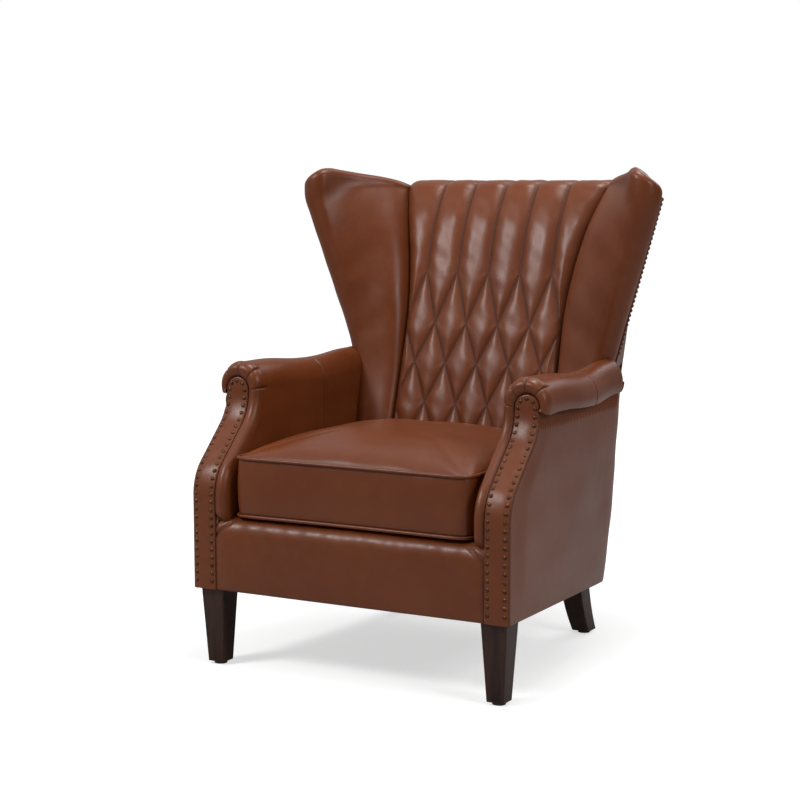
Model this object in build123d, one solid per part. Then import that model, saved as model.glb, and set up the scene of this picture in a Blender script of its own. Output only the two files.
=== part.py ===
from build123d import *
from math import acos, atan2, ceil, cos, hypot, pi, radians, sin, sqrt
import os

# A wingback armchair, in millimetres. +Z is up, the front faces -Y, and the origin is
# on the floor under the middle of the overall box. Right means +X, as seen from the front.

# Overall sizes
overall_width = 851.0
overall_depth = 800.0
overall_height = 1003.0
arm_height = 610.0
seat_height = 483.0
seat_width = 546.0
front_clearance = 160.0
rear_clearance = 130.0

# Materials in thickness, and clearances
leather = 2.0
panel_thickness = 3.0
board_thickness = 4.0
soft_gap = 0.3
hidden_gap = 0.2
open_edge = 1.0
cut_past = 50.0

# Arms
arm_side_gap = 3.0
inner_pad = 27.0
facing_width = 52.0
facing_thickness = 6.0
arm_roll_radius = 48.0
arm_back_y = 165.0
facing_straight = 190.0
scroll_radius = 95.0
scroll_lean = 45.0
scroll_run = 96.0
arm_frame_width = 20.0
arm_board_short = 75.0
arm_top_taper = 25.0

# Back, wings and the outside panels
back_bend_inset = 178.6
back_point_inset = 285.0
back_point_z = 470.0
back_crest_drop = 27.0
back_bend_drop = 135.0
back_curl = 22.0
back_curl_radius = 350.0
back_crest_radius = 40.0
back_thickness = 78.0
back_cover_thickness = 14.0
back_panel_half = 189.0
back_panel_top_half = 250.0
back_flare_rise = 30.0
outside_rear_inset = 162.0
outside_half_low = 250.0
outside_half_high = 290.0
crest_rear_round = 22.0

# Quilting of the back: straight channels above, diamonds below
channel_pitch = 76.0
channel_count = 5
channel_half_opening = 30.0
channel_depth = 10.0
diamond_first_drop = 64.0
diamond_second_drop = 110.0
diamond_row = 85.0
diamond_row_count = 4
diamond_half_opening = 20.0
diamond_depth = 9.0
groove_lid = 4.0

# Wings
wing_tip_radius = 33.0
wing_bulge_across = 24.0
wing_bulge_forward = 20.0
wing_ear_radius = 62.0
wing_top_fall = 29.0
wing_low_drop = 14.0
wing_low_tip_x = 277.0
wing_low_tip_y = 177.0
wing_wide_drop = 66.0
wing_wide_tip_y = 146.0
wing_depth = 70.0
wing_panel_edge = 0.02
wing_nail_share = 0.055
wing_seam_drop = 12.0
wing_level_shares = [0.19, 0.42, 0.69, 0.89]
wing_side_stand = 2.3
wing_level_over = 6.0

# Seat cushion
cushion_bottom_z = 307.0
cushion_boxing_height = 118.0
cushion_front_y = -386.0
cushion_back_gap = 9.0
cushion_corner = 30.0
cushion_draw_in = 6.0
cushion_swell = 3.0
cushion_crown_steps = [(0.0, 0.0), (0.34, 18.0), (0.62, 52.0), (0.84, 98.0), (1.0, 165.0)]
cushion_side_gap = 1.5
cushion_cover = 2.0
welt_diameter = 7.0

# Base frame
rail_thickness = 25.0
deck_thickness = 24.0
border_thickness = 18.0
border_top_round = 30.0
side_taper = 66.0
side_rear_y = 181.0
rear_corner_half = 252.0
block_leg = 70.0
post_width = 38.0
post_depth = 30.0
post_foot = 60.0
stick = 30.0
spring_wire = 4.0
spring_count = 5
spring_pitch = 88.0
spring_bends = 14
spring_swing = 40.0
clip_size = 16.0
web_count = 4
web_width = 50.0
web_thickness = 2.0
dust_thickness = 1.5

# Legs, fastenings and nails
leg_top = 56.0
leg_foot = 37.0
leg_inset = 9.0
rear_leg_top = 50.0
rear_leg_foot = 40.0
rear_leg_x = 222.0
rear_leg_top_y = 186.0
rear_leg_foot_y = 243.0
sabre_share = 0.42
glide_diameter = 26.0
glide_height = 6.0
bolt_diameter = 8.0
bolt_in_leg = 45.0
bolt_in_block = 50.0
nail_head = 10.0
nail_rise = 3.0
nail_shank = 2.0
nail_pitch = 16.5
nail_edge = 8.0
arch_nails = 3
nail_first = 17.0
wing_nail_head = 8.0
wing_nail_rise = 2.5
wing_nail_pitch = 10.0

# Places worked out from the sizes above
front_y = -overall_depth / 2 + nail_rise
rear_y = overall_depth / 2
arm_inner_x = seat_width / 2 + arm_side_gap
facing_in_x = arm_inner_x + inner_pad
facing_out_x = facing_in_x + facing_width
roll_x = arm_inner_x + arm_roll_radius
roll_z = arm_height - arm_roll_radius
deck_top_z = cushion_bottom_z - soft_gap
back_crest_z = overall_height - back_crest_drop
back_bend_z = back_crest_z - back_bend_drop
back_point_y = rear_y - back_point_inset
outside_rear_y = rear_y - outside_rear_inset
lean_tan = (rear_y - back_bend_inset - back_point_y) / (back_bend_z - back_point_z)
back_lean = atan2(lean_tan, 1.0)
back_flare_z = arm_height + back_flare_rise
diamond_first_z = back_bend_z - diamond_first_drop
diamond_second_z = diamond_first_z - diamond_second_drop
wing_low_z = arm_height - wing_low_drop
wing_wide_z = overall_height - wing_wide_drop
outside_lean = (rear_y - outside_rear_y) / (back_crest_z - rear_clearance)
cushion_half = seat_width / 2 - welt_diameter - cushion_side_gap
side_rear_half = facing_out_x - side_taper

parts = {}


def add(name, shape):
    """Keep a finished piece under its node name."""
    parts[name] = shape


def add_pair(name, shape):
    """Keep a right-hand piece and its mirror image."""
    parts[name + "_right"] = shape
    parts[name + "_left"] = mirror(shape, about=Plane.YZ)


def group(shapes):
    """Several separate solids in one node."""
    return Compound(children=[solid for shape in shapes for solid in shape.solids()])


def yz(y, z, x=0.0):
    """A point given in the side view."""
    return (x, y, z)


def prism_x(edges, x_start, x_end):
    """A side-view outline at x = 0, drawn out between two x places."""
    face = Pos(x_start, 0, 0) * make_face(edges)
    return extrude(face, x_end - x_start, dir=(1, 0, 0))


def chain(points):
    """Straight edges through the points, not closed."""
    return [Line(a, b) for a, b in zip(points, points[1:])]


def outline(points):
    """Straight edges through the points and back to the first."""
    return chain(list(points) + [points[0]])


def bar(start, end, width, depth):
    """A straight stick of rectangular section between two points; width lies along X or Y."""
    start = Vector(*start)
    run = Vector(*end) - start
    across = Vector(1, 0, 0) if abs(run.X) < 0.7 * run.length else Vector(0, 1, 0)
    side = across - run * (across.dot(run) / run.dot(run))
    section = Plane(origin=start, x_dir=side, z_dir=run) * Rectangle(width, depth)
    return extrude(section, run.length, dir=run.normalized())


def block(x_range, y_range, z_range):
    """A box between limits."""
    size = [high - low for low, high in (x_range, y_range, z_range)]
    middle = [(high + low) / 2 for low, high in (x_range, y_range, z_range)]
    return Pos(*middle) * Box(*size)


def base_z(y):
    """Height of the sloping underside of the base."""
    return front_clearance + (rear_clearance - front_clearance) * (y - front_y) / (outside_rear_y - front_y)


def back_y(z):
    """Inside face of the back, on its straight part."""
    return back_point_y + (z - back_point_z) * lean_tan


def outside_y(z):
    """Outer face of the outside back."""
    return outside_rear_y + (z - rear_clearance) * outside_lean


def outside_half(z):
    """Half width of the outside back."""
    share = (z - rear_clearance) / (back_crest_z - rear_clearance)
    return outside_half_low + (outside_half_high - outside_half_low) * share


def panel_half(z):
    """Half width of the quilted panel, straight below and flaring on an arc above."""
    rise = back_crest_z - back_flare_z
    spread = back_panel_top_half - back_panel_half
    radius = (rise * rise + spread * spread) / (2 * spread)
    above = max(0.0, z - back_flare_z)
    return back_panel_half + radius - sqrt(radius * radius - above * above)


under_base = prism_x(
    outline([
        yz(front_y - cut_past, base_z(front_y - cut_past)), yz(rear_y, base_z(rear_y)),
        yz(rear_y, -cut_past), yz(front_y - cut_past, -cut_past),
    ]),
    -overall_width, overall_width,
)


# The scroll of the arm front: upright, bent back, straight, and upright again
scroll_angle = radians(scroll_lean)
scroll_low_z = front_clearance + facing_straight


def scroll_points(inset):
    """End points of the four stretches of the scroll, set back by inset along its normal."""
    low = (front_y + inset, scroll_low_z)
    first_radius = scroll_radius - inset
    second_radius = scroll_radius + inset
    bend = (low[0] + first_radius * (1 - cos(scroll_angle)), low[1] + first_radius * sin(scroll_angle))
    run = (bend[0] + scroll_run * sin(scroll_angle), bend[1] + scroll_run * cos(scroll_angle))
    top = (run[0] + second_radius * (1 - cos(scroll_angle)), run[1] + second_radius * sin(scroll_angle))
    return low, bend, run, top


def scroll_edges(inset, z_start, z_end):
    """The scroll as edges in the side view, from one height to another."""
    low, bend, run, top = scroll_points(inset)
    half = scroll_angle / 2
    first_radius = scroll_radius - inset
    second_radius = scroll_radius + inset
    first_mid = (low[0] + first_radius * (1 - cos(half)), low[1] + first_radius * sin(half))
    second_mid = (top[0] - second_radius * (1 - cos(half)), top[1] - second_radius * sin(half))
    return [
        Line(yz(low[0], z_start), yz(*low)),
        ThreePointArc(yz(*low), yz(*first_mid), yz(*bend)),
        Line(yz(*bend), yz(*run)),
        ThreePointArc(yz(*run), yz(*second_mid), yz(*top)),
        Line(yz(*top), yz(top[0], z_end)),
    ]


def scroll_place(distance):
    """Point on the scroll at a distance along it from its foot, with its lean in radians."""
    low, bend, run, top = scroll_points(0)
    bend_length = scroll_radius * scroll_angle
    if distance <= facing_straight:
        return low[0], front_clearance + distance, 0.0
    distance -= facing_straight
    if distance <= bend_length:
        turn = distance / scroll_radius
        return low[0] + scroll_radius * (1 - cos(turn)), low[1] + scroll_radius * sin(turn), turn
    distance -= bend_length
    if distance <= scroll_run:
        return bend[0] + distance * sin(scroll_angle), bend[1] + distance * cos(scroll_angle), scroll_angle
    turn = scroll_angle - (distance - scroll_run) / scroll_radius
    return top[0] - scroll_radius * (1 - cos(turn)), top[1] - scroll_radius * sin(turn), turn


scroll_length = facing_straight + 2 * scroll_radius * scroll_angle + scroll_run
scroll_top_y = scroll_points(0)[3][0]
scroll_top_z = scroll_points(0)[3][1]
roll_seat_z = scroll_top_z + open_edge


# Arms
def arm_form(inset):
    """The padded inside arm and roll, its visible faces set in by inset."""
    inner = arm_inner_x + inset
    radius = arm_roll_radius - inset
    slant = radius * sqrt(0.5)
    section = [
        Line((inner, 0, deck_top_z), (inner, 0, roll_z)),
        ThreePointArc((inner, 0, roll_z), (roll_x - slant, 0, roll_z + slant), (roll_x, 0, roll_z + radius)),
        ThreePointArc(
            (roll_x, 0, roll_z + radius), (roll_x + slant, 0, roll_z + slant), (roll_x + radius, 0, roll_z)),
        Line((roll_x + radius, 0, roll_z), (facing_out_x, 0, roll_seat_z)),
        Line((facing_out_x, 0, roll_seat_z), (facing_in_x, 0, roll_seat_z)),
        Line((facing_in_x, 0, roll_seat_z), (facing_in_x, 0, deck_top_z)),
        Line((facing_in_x, 0, deck_top_z), (inner, 0, deck_top_z)),
    ]
    body = Pos(0, front_y, 0) * extrude(make_face(section), arm_back_y - front_y, dir=(0, 1, 0))
    top_y = scroll_points(inset)[3][0]
    side = scroll_edges(inset, deck_top_z, arm_height) + chain([
        yz(top_y, arm_height), yz(arm_back_y, arm_height), yz(arm_back_y, deck_top_z),
        yz(front_y + inset, deck_top_z),
    ])
    return body & prism_x(side, arm_inner_x, roll_x + arm_roll_radius)


arm_whole = arm_form(0)
arm_core = arm_form(leather)
facing_middle_x = (facing_in_x + facing_out_x) / 2


def facing_arch(gap):
    """The round head of the facing, which stands in the front of the roll, grown by a gap."""
    depth = facing_thickness + gap + open_edge
    disc = Pos(facing_middle_x, scroll_top_y - open_edge + depth / 2, roll_seat_z - open_edge) * (
        Rot(90, 0, 0) * Cylinder(facing_width / 2 + gap, depth))
    upper = block(
        (facing_in_x - gap, facing_out_x + gap),
        (scroll_top_y - (open_edge if gap else 0), scroll_top_y + facing_thickness + gap),
        (roll_seat_z - open_edge, arm_height))
    return disc & upper


arch_room = facing_arch(soft_gap)
add_pair("arm_cover", arm_whole - arm_core - arch_room)
add_pair("arm_foam", arm_core - arch_room)

arm_envelope = prism_x(
    outline([
        yz(front_y, base_z(front_y)), yz(arm_back_y + soft_gap, base_z(front_y)),
        yz(arm_back_y + soft_gap, roll_z), yz(front_y, roll_z),
    ]),
    arm_inner_x - soft_gap, roll_x + arm_roll_radius + soft_gap,
)
roll_envelope = Pos(roll_x, (front_y + arm_back_y + soft_gap) / 2, roll_z) * (
    Rot(90, 0, 0) * Cylinder(arm_roll_radius + soft_gap, arm_back_y + soft_gap - front_y))

facing_side = scroll_edges(0, front_clearance, roll_seat_z)
facing_back = scroll_edges(facing_thickness, front_clearance, roll_seat_z)
facing_whole = prism_x(
    facing_side + facing_back + [
        Line(facing_side[0] @ 0, facing_back[0] @ 0), Line(facing_side[4] @ 1, facing_back[4] @ 1)],
    facing_in_x, facing_out_x,
) + facing_arch(0)

stump_low_z = front_clearance + hidden_gap
stump_front = scroll_edges(facing_thickness + hidden_gap, stump_low_z, roll_seat_z - hidden_gap)
stump_rear = scroll_edges(facing_thickness + hidden_gap + stick, stump_low_z, roll_seat_z - hidden_gap)
stump_limits = (facing_in_x + hidden_gap, facing_in_x + hidden_gap + arm_frame_width)
stump = prism_x(
    stump_front + stump_rear + [
        Line(stump_front[0] @ 0, stump_rear[0] @ 0), Line(stump_front[4] @ 1, stump_rear[4] @ 1)],
    *stump_limits,
)

arm_rail_front_y = scroll_top_y + facing_thickness + 2 * hidden_gap + stick
add_pair("arm_top_rail", block(
    stump_limits, (arm_rail_front_y, arm_back_y - hidden_gap),
    (roll_seat_z - hidden_gap - stick, roll_seat_z - hidden_gap)))

board_side = scroll_edges(facing_thickness + 2 * hidden_gap + stick, deck_top_z, roll_seat_z) + chain([
    yz(arm_rail_front_y, roll_seat_z), yz(arm_back_y - arm_board_short, roll_seat_z),
    yz(arm_back_y - arm_board_short, deck_top_z),
    yz(front_y + facing_thickness + 2 * hidden_gap + stick, deck_top_z),
])
arm_board = prism_x(board_side, facing_in_x + hidden_gap, facing_in_x + hidden_gap + board_thickness)
add_pair("arm_board", arm_board - parts["arm_top_rail_right"])


# Outside arm: a ruled panel that twists from the tapered base to the upright arm, then turns back
def arm_strip(z, half_side, y_side):
    """Plan of the outside arm panel at one height."""
    y_end = outside_y(z) - panel_thickness - hidden_gap
    half_end = outside_half(z)
    outer = [(facing_out_x, front_y), (half_side, y_side), (half_end, y_end)]
    inner = [(x - panel_thickness, y) for x, y in reversed(outer)]
    return make_face(outline([(x, y, z) for x, y in outer + inner]))


arm_strip_low = rear_clearance - cut_past
outside_arm = loft(
    [arm_strip(arm_strip_low, side_rear_half, side_rear_y),
     arm_strip(roll_seat_z - hidden_gap, facing_out_x - arm_top_taper, arm_back_y)], ruled=True)
arm_side_view = scroll_edges(facing_thickness + hidden_gap, 0, roll_seat_z) + chain([
    yz(scroll_top_y + facing_thickness + hidden_gap, roll_seat_z), yz(rear_y, roll_seat_z), yz(rear_y, 0),
    yz(front_y + facing_thickness + hidden_gap, 0),
])
outside_arm = outside_arm & prism_x(arm_side_view, 0, overall_width)
add_pair("outside_arm", outside_arm - under_base)


# Nails on the facings: two rows, and a few round the head
def dome(head, rise):
    """A domed nail head on the origin, towards +Z."""
    ball = (head * head / 4 + rise * rise) / (2 * rise)
    above = block((-head, head), (-head, head), (0, rise + open_edge))
    return (Pos(0, 0, rise - ball) * Sphere(ball)) & above


def facing_nail(x, distance, above=0.0):
    """A nail standing square on the facing at a distance along the scroll, or above its end."""
    y, z, lean = scroll_place(distance)
    z += above
    place = Plane(origin=(x, y, z), x_dir=(1, 0, 0), z_dir=(0, -cos(lean), sin(lean)))
    shank_length = facing_thickness - hidden_gap
    shank = Pos(0, 0, -shank_length / 2) * Cylinder(nail_shank / 2, shank_length)
    return place * (dome(nail_head, nail_rise) + shank)


row_last = scroll_length
row_count = ceil((row_last - nail_first) / nail_pitch)
row_step = (row_last - nail_first) / row_count
nail_rows = [facing_in_x + nail_edge, facing_out_x - nail_edge]
arm_nails = [
    facing_nail(x, nail_first + row_step * index) for x in nail_rows for index in range(row_count + 1)]
arch_radius = facing_width / 2 - nail_edge
arm_nails += [
    facing_nail(facing_middle_x + arch_radius * cos(angle), row_last, arch_radius * sin(angle))
    for angle in (pi * index / (arch_nails + 1) for index in range(1, arch_nails + 1))]
arm_nail_group = group(arm_nails)
add_pair("arm_nails", arm_nail_group)
add_pair("arm_facing", facing_whole - arm_nails)


# Back: a leaning pad whose top curls back over the top rail
curl_start = back_lean
curl_end = back_lean + radians(back_curl)


def back_profile(inset):
    """Side view of the back pad, its visible faces set in by inset."""
    radius = back_curl_radius - inset
    crest = back_crest_radius - inset
    foot_z = deck_top_z
    shift = inset / cos(curl_start)
    foot = (back_y(foot_z) + shift, foot_z)
    bend = (back_y(back_bend_z) + inset * cos(curl_start), back_bend_z - inset * sin(curl_start))
    centre = (bend[0] + radius * cos(curl_start), bend[1] - radius * sin(curl_start))
    middle = (curl_start + curl_end) / 2
    curl_mid = (centre[0] - radius * cos(middle), centre[1] + radius * sin(middle))
    curl_top = (centre[0] - radius * cos(curl_end), centre[1] + radius * sin(curl_end))
    crest_centre = (curl_top[0] + crest * cos(curl_end), curl_top[1] - crest * sin(curl_end))
    crest_turn = (curl_end + pi / 2) / 2
    crest_mid = (crest_centre[0] - crest * cos(crest_turn), crest_centre[1] + crest * sin(crest_turn))
    crest_top = (crest_centre[0], crest_centre[1] + crest)
    round_radius = crest_rear_round
    rear = rear_y
    round_start = (rear - inset - round_radius, crest_top[1])
    round_mid = (round_start[0] + round_radius * sqrt(0.5), crest_top[1] - round_radius * (1 - sqrt(0.5)))
    round_end = (rear - inset, crest_top[1] - round_radius)
    pocket_z = crest_top[1] - 2 * crest_rear_round + inset
    behind = back_thickness / cos(curl_start)
    return [
        Line(yz(*foot), yz(*bend)),
        ThreePointArc(yz(*bend), yz(*curl_mid), yz(*curl_top)),
        ThreePointArc(yz(*curl_top), yz(*crest_mid), yz(*crest_top)),
        Line(yz(*crest_top), yz(*round_start)),
        ThreePointArc(yz(*round_start), yz(*round_mid), yz(*round_end)),
    ] + chain([
        yz(*round_end), yz(rear - inset, pocket_z), yz(back_y(pocket_z) + behind, pocket_z),
        yz(back_y(foot_z) + behind, foot_z), yz(*foot),
    ])


crest_z = max(edge.bounding_box().max.Z for edge in back_profile(0))


def panel_plan(inset):
    """Front view of the quilted panel, as a prism along Y."""
    low_z = deck_top_z - open_edge
    high_z = back_crest_z + cut_past / 2
    half_low = back_panel_half - inset
    middle_z = (back_flare_z + high_z) / 2
    edges = [
        Line((-half_low, 0, low_z), (half_low, 0, low_z)),
        Line((half_low, 0, low_z), (half_low, 0, back_flare_z)),
        ThreePointArc(
            (half_low, 0, back_flare_z), (panel_half(middle_z) - inset, 0, middle_z),
            (panel_half(high_z) - inset, 0, high_z)),
        Line((panel_half(high_z) - inset, 0, high_z), (-panel_half(high_z) + inset, 0, high_z)),
        ThreePointArc(
            (-panel_half(high_z) + inset, 0, high_z), (-panel_half(middle_z) + inset, 0, middle_z),
            (-half_low, 0, back_flare_z)),
        Line((-half_low, 0, back_flare_z), (-half_low, 0, low_z)),
    ]
    return extrude(make_face(edges), rear_y, dir=(0, 1, 0))


def pillow_section(half_opening, depth):
    """Section of a seam groove: two swelling sides that meet in a crease, open above."""
    radius = (half_opening * half_opening + depth * depth) / (2 * depth)
    lean = atan2(half_opening, radius - depth) / 2
    side = (half_opening - radius * sin(lean), radius * cos(lean) - radius)
    return [
        ThreePointArc((0, -depth), side, (half_opening, 0)),
        Line((half_opening, 0), (half_opening, groove_lid)),
        Line((half_opening, groove_lid), (-half_opening, groove_lid)),
        Line((-half_opening, groove_lid), (-half_opening, 0)),
        ThreePointArc((-half_opening, 0), (-side[0], side[1]), (0, -depth)),
    ]


slope_normal = Vector(0, -cos(curl_start), sin(curl_start))


def on_slope(x, z):
    """A point of the inside back on its straight part."""
    return Vector(x, back_y(z), z)


def crease(start, end):
    """A straight seam groove along the leaning face, from one point of it to another."""
    run = end - start
    section = Plane(origin=start, x_dir=slope_normal.cross(run), z_dir=run) * make_face(
        pillow_section(diamond_half_opening, diamond_depth))
    return extrude(section, run.length, dir=run.normalized())


def channel(x):
    """An upright seam groove from the first diamond row over the curl to the crest."""
    profile = back_profile(0)
    path = Wire([
        Line(yz(back_y(diamond_first_z), diamond_first_z), profile[0] @ 1),
        profile[1], profile[2],
    ])
    section = Plane(origin=path @ 0, x_dir=(-1, 0, 0), z_dir=path % 0) * make_face(
        pillow_section(channel_half_opening, channel_depth))
    return Pos(x, 0, 0) * sweep(section, path=path)


channel_side = channel_count // 2
channel_places = [channel_pitch * index for index in range(-channel_side, channel_side + 1)]
half_pitch = channel_pitch / 2
creases = []
for place in channel_places:
    for step in (-half_pitch, half_pitch):
        creases.append(crease(on_slope(place, diamond_first_z), on_slope(place + step, diamond_second_z)))
last_z = diamond_second_z - diamond_row * diamond_row_count
edge_x = channel_places[-1] + half_pitch
for index in range(-channel_side - diamond_row_count, channel_side + 2):
    top_x = channel_pitch * index - half_pitch
    top_row = max(0.0, (-edge_x - top_x) / half_pitch)
    low_row = min(float(diamond_row_count), (edge_x - top_x) / half_pitch)
    if low_row > top_row:
        start = (top_x + top_row * half_pitch, diamond_second_z - top_row * diamond_row)
        end = (top_x + low_row * half_pitch, diamond_second_z - low_row * diamond_row)
        for side in (1, -1):
            creases.append(crease(on_slope(side * start[0], start[1]), on_slope(side * end[0], end[1])))

panel_prism = panel_plan(0)
back_core = prism_x(back_profile(back_cover_thickness), -rear_y, rear_y) & panel_prism
back_whole = prism_x(back_profile(0), -rear_y, rear_y) & panel_prism
back_shell = back_whole - prism_x(back_profile(back_cover_thickness), -rear_y, rear_y)
add("back_cover", back_shell - [channel(x) for x in channel_places] - creases)
add("back_foam", back_core)


def curl_y(z):
    """Inside face of the back at any height, on its straight part or on its curl."""
    if z <= back_bend_z:
        return back_y(z)
    centre_y = back_y(back_bend_z) + back_curl_radius * cos(curl_start)
    centre_z = back_bend_z - back_curl_radius * sin(curl_start)
    return centre_y - sqrt(back_curl_radius ** 2 - (z - centre_z) ** 2)


# Wings: a bulge beside the quilted panel, a face that turns forward with height, and a rolled front
wing_wide_x = overall_width / 2 - wing_tip_radius - wing_side_stand
wing_levels = [
    roll_seat_z, wing_low_z,
    *(wing_low_z + (wing_wide_z - wing_low_z) * share for share in wing_level_shares),
    wing_wide_z, overall_height + wing_level_over]


def wing_tip(z):
    """Middle of the rolled front edge in plan."""
    share = min(1.0, (z - wing_low_z) / (wing_wide_z - wing_low_z))
    x = wing_low_tip_x + (wing_wide_x - wing_low_tip_x) * share
    y = wing_low_tip_y + (wing_wide_tip_y - wing_low_tip_y) * share
    return x, y


def touch(point, centre, radius, side):
    """Where a line from the point touches the circle, on the given side."""
    away = hypot(point[0] - centre[0], point[1] - centre[1])
    angle = atan2(point[1] - centre[1], point[0] - centre[0]) + side * acos(radius / away)
    return (centre[0] + radius * cos(angle), centre[1] + radius * sin(angle)), angle


def wing_corners(z, inset, spare=0.0):
    """Corner points of the wing in plan, and the angles of its rolled edge.

    The visible faces are set in by inset, and the hidden ones stand out by spare.
    """
    share = min(1.0, max(0.0, (z - wing_low_z) / (back_bend_z - wing_low_z)))
    seam_x = panel_half(z) + soft_gap
    seam_y = curl_y(min(z, crest_z - wing_seam_drop))
    centre = wing_tip(z)
    radius = wing_tip_radius - inset
    seam = (seam_x - spare, seam_y + inset)
    bulge = (seam_x + wing_bulge_across, seam_y - wing_bulge_forward * share + inset)
    rear_x = outside_half(z) - panel_thickness - inset - spare
    rear = (rear_x, outside_y(z) - 2 * panel_thickness - inset + 4 * spare)
    front_touch, front_angle = touch(bulge, centre, radius, 1)
    side_touch, side_angle = touch(rear, centre, radius, -1)
    inner_rear = (seam_x - spare, seam_y + wing_depth + 2 * spare)
    return seam, bulge, front_touch, side_touch, rear, inner_rear, front_angle, side_angle


def wing_section(z, inset, spare):
    """Plan of the wing at one height."""
    *corners, front_angle, side_angle = wing_corners(z, inset, spare)
    seam, bulge, front_touch, side_touch, rear, inner_rear = corners
    centre = wing_tip(z)
    radius = wing_tip_radius - inset
    turn = (side_angle - front_angle) % (2 * pi)

    def on_roll(share):
        angle = front_angle + turn * share
        return (centre[0] + radius * cos(angle), centre[1] + radius * sin(angle), z)

    flat = [(x, y, z) for x, y in (side_touch, rear, inner_rear, seam, bulge, front_touch)]
    return make_face(chain(flat) + [
        ThreePointArc(flat[-1], on_roll(0.25), on_roll(0.5)),
        ThreePointArc(on_roll(0.5), on_roll(0.75), flat[0]),
    ])


def wing_limits(inset):
    """The rounded ear in the front view, under a top that falls towards the back."""
    half = overall_width / 2 - inset
    top = overall_height - inset
    radius = wing_ear_radius
    ear_low_z = deck_top_z - cut_past
    slant = radius * sqrt(0.5)
    ear = [
        Line((half, 0, ear_low_z), (half, 0, top - radius)),
        ThreePointArc(
            (half, 0, top - radius), (half - radius + slant, 0, top - radius + slant),
            (half - radius, 0, top)),
    ] + chain([(half - radius, 0, top), (0, 0, top), (0, 0, ear_low_z), (half, 0, ear_low_z)])
    front_view = extrude(make_face(ear), rear_y, dir=(0, 1, 0))
    fall_start = wing_wide_tip_y
    fall_end = curl_y(crest_z - wing_seam_drop)
    slope = wing_top_fall / (fall_end - fall_start)
    side_view = prism_x(
        outline([
            yz(0, 0), yz(0, top), yz(fall_start, top),
            yz(rear_y, top - slope * (rear_y - fall_start)), yz(rear_y, 0)]),
        0, overall_width)
    return front_view & side_view


def wing_form(inset, spare=0.0):
    """The whole wing above the arm."""
    levels = [wing_levels[0] - spare] + wing_levels[1:]
    body = loft([wing_section(z, inset, spare) for z in levels], ruled=True)
    return body & wing_limits(inset)


def side_pad(inset, spare=0.0):
    """The wing's lower part beside the quilted panel, between it and the arm."""
    low_z = deck_top_z - spare
    high_z = wing_levels[0] + spare
    behind = wing_depth + spare
    edges = outline([
        yz(back_y(low_z) + inset, low_z), yz(back_y(high_z) + inset, high_z),
        yz(back_y(high_z) + behind, high_z), yz(back_y(low_z) + behind, low_z),
    ])
    return prism_x(edges, back_panel_half + soft_gap - spare, arm_inner_x - soft_gap + spare)


arm_space = arm_envelope + roll_envelope
wing_whole = wing_form(0) + side_pad(0)
wing_hollow = wing_form(leather, open_edge) + side_pad(leather, open_edge)


def wing_outer(z, share):
    """A point on the wing's outer face, between the roll (0) and the rear corner (1), and its normal."""
    corners = wing_corners(z, 0)
    side_touch, rear = corners[3], corners[4]
    run = (rear[0] - side_touch[0], rear[1] - side_touch[1])
    length = hypot(*run)
    point = (side_touch[0] + run[0] * share, side_touch[1] + run[1] * share)
    return point, (run[1] / length, -run[0] / length)


def wing_strip(z):
    """Plan of the outside wing panel at one height."""
    (front_x, front_y_place), normal = wing_outer(z, wing_panel_edge)
    (end_x, end_y), _ = wing_outer(z, 1.0)
    near = hidden_gap
    far = hidden_gap + panel_thickness
    points = [
        (front_x + normal[0] * near, front_y_place + normal[1] * near),
        (front_x + normal[0] * far, front_y_place + normal[1] * far),
        (end_x + normal[0] * far, end_y + normal[1] * far),
        (end_x + normal[0] * near, end_y + normal[1] * near),
    ]
    return make_face(outline([(x, y, z) for x, y in points]))


def wing_nail(z):
    """A head of the small nail trim, square on the outside wing panel just behind its front edge."""
    (x, y), normal = wing_outer(z, wing_nail_share)
    far = panel_thickness + 2 * hidden_gap
    above, _ = wing_outer(z + open_edge, wing_nail_share)
    upward = Vector(above[0] - x, above[1] - y, open_edge)
    outward = upward.cross(Vector(-normal[1], normal[0], 0))
    if outward.X < 0:
        outward = outward * -1
    place = Plane(origin=(x + normal[0] * far, y + normal[1] * far, z), z_dir=outward)
    return place * dome(wing_nail_head, wing_nail_rise)


wing_nail_low_z = arm_height + wing_nail_head
wing_nail_high_z = overall_height - wing_ear_radius
wing_nail_count = int((wing_nail_high_z - wing_nail_low_z) / wing_nail_pitch)
wing_nails = [wing_nail(wing_nail_low_z + wing_nail_pitch * index) for index in range(wing_nail_count + 1)]
wing_panel = loft([wing_strip(z) for z in wing_levels], ruled=True) & wing_limits(0)
add_pair("wing_nails", group(wing_nails))
add_pair("outside_wing", wing_panel - arm_space)

# Outside back
back_panel_top_z = crest_z - 2 * crest_rear_round - hidden_gap


def back_strip(z):
    """Plan of the outside back panel at one height."""
    half = outside_half(z)
    rear = outside_y(z)
    return make_face(outline([
        (-half, rear, z), (half, rear, z), (half, rear - panel_thickness, z),
        (-half, rear - panel_thickness, z)]))


back_strips = [back_strip(rear_clearance - cut_past), back_strip(back_panel_top_z)]
add("outside_back", loft(back_strips, ruled=True) - under_base)

# Base frame
deck_low_z = deck_top_z - deck_thickness
rail_top_z = deck_low_z - 2 * spring_wire
border_front_y = front_y + border_thickness / 6
border_back_y = border_front_y + border_thickness
rail_front_y = border_back_y + hidden_gap
rail_back_y = rail_front_y + rail_thickness
border_half = facing_in_x - soft_gap
base_low_z = rear_clearance - cut_past

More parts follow.
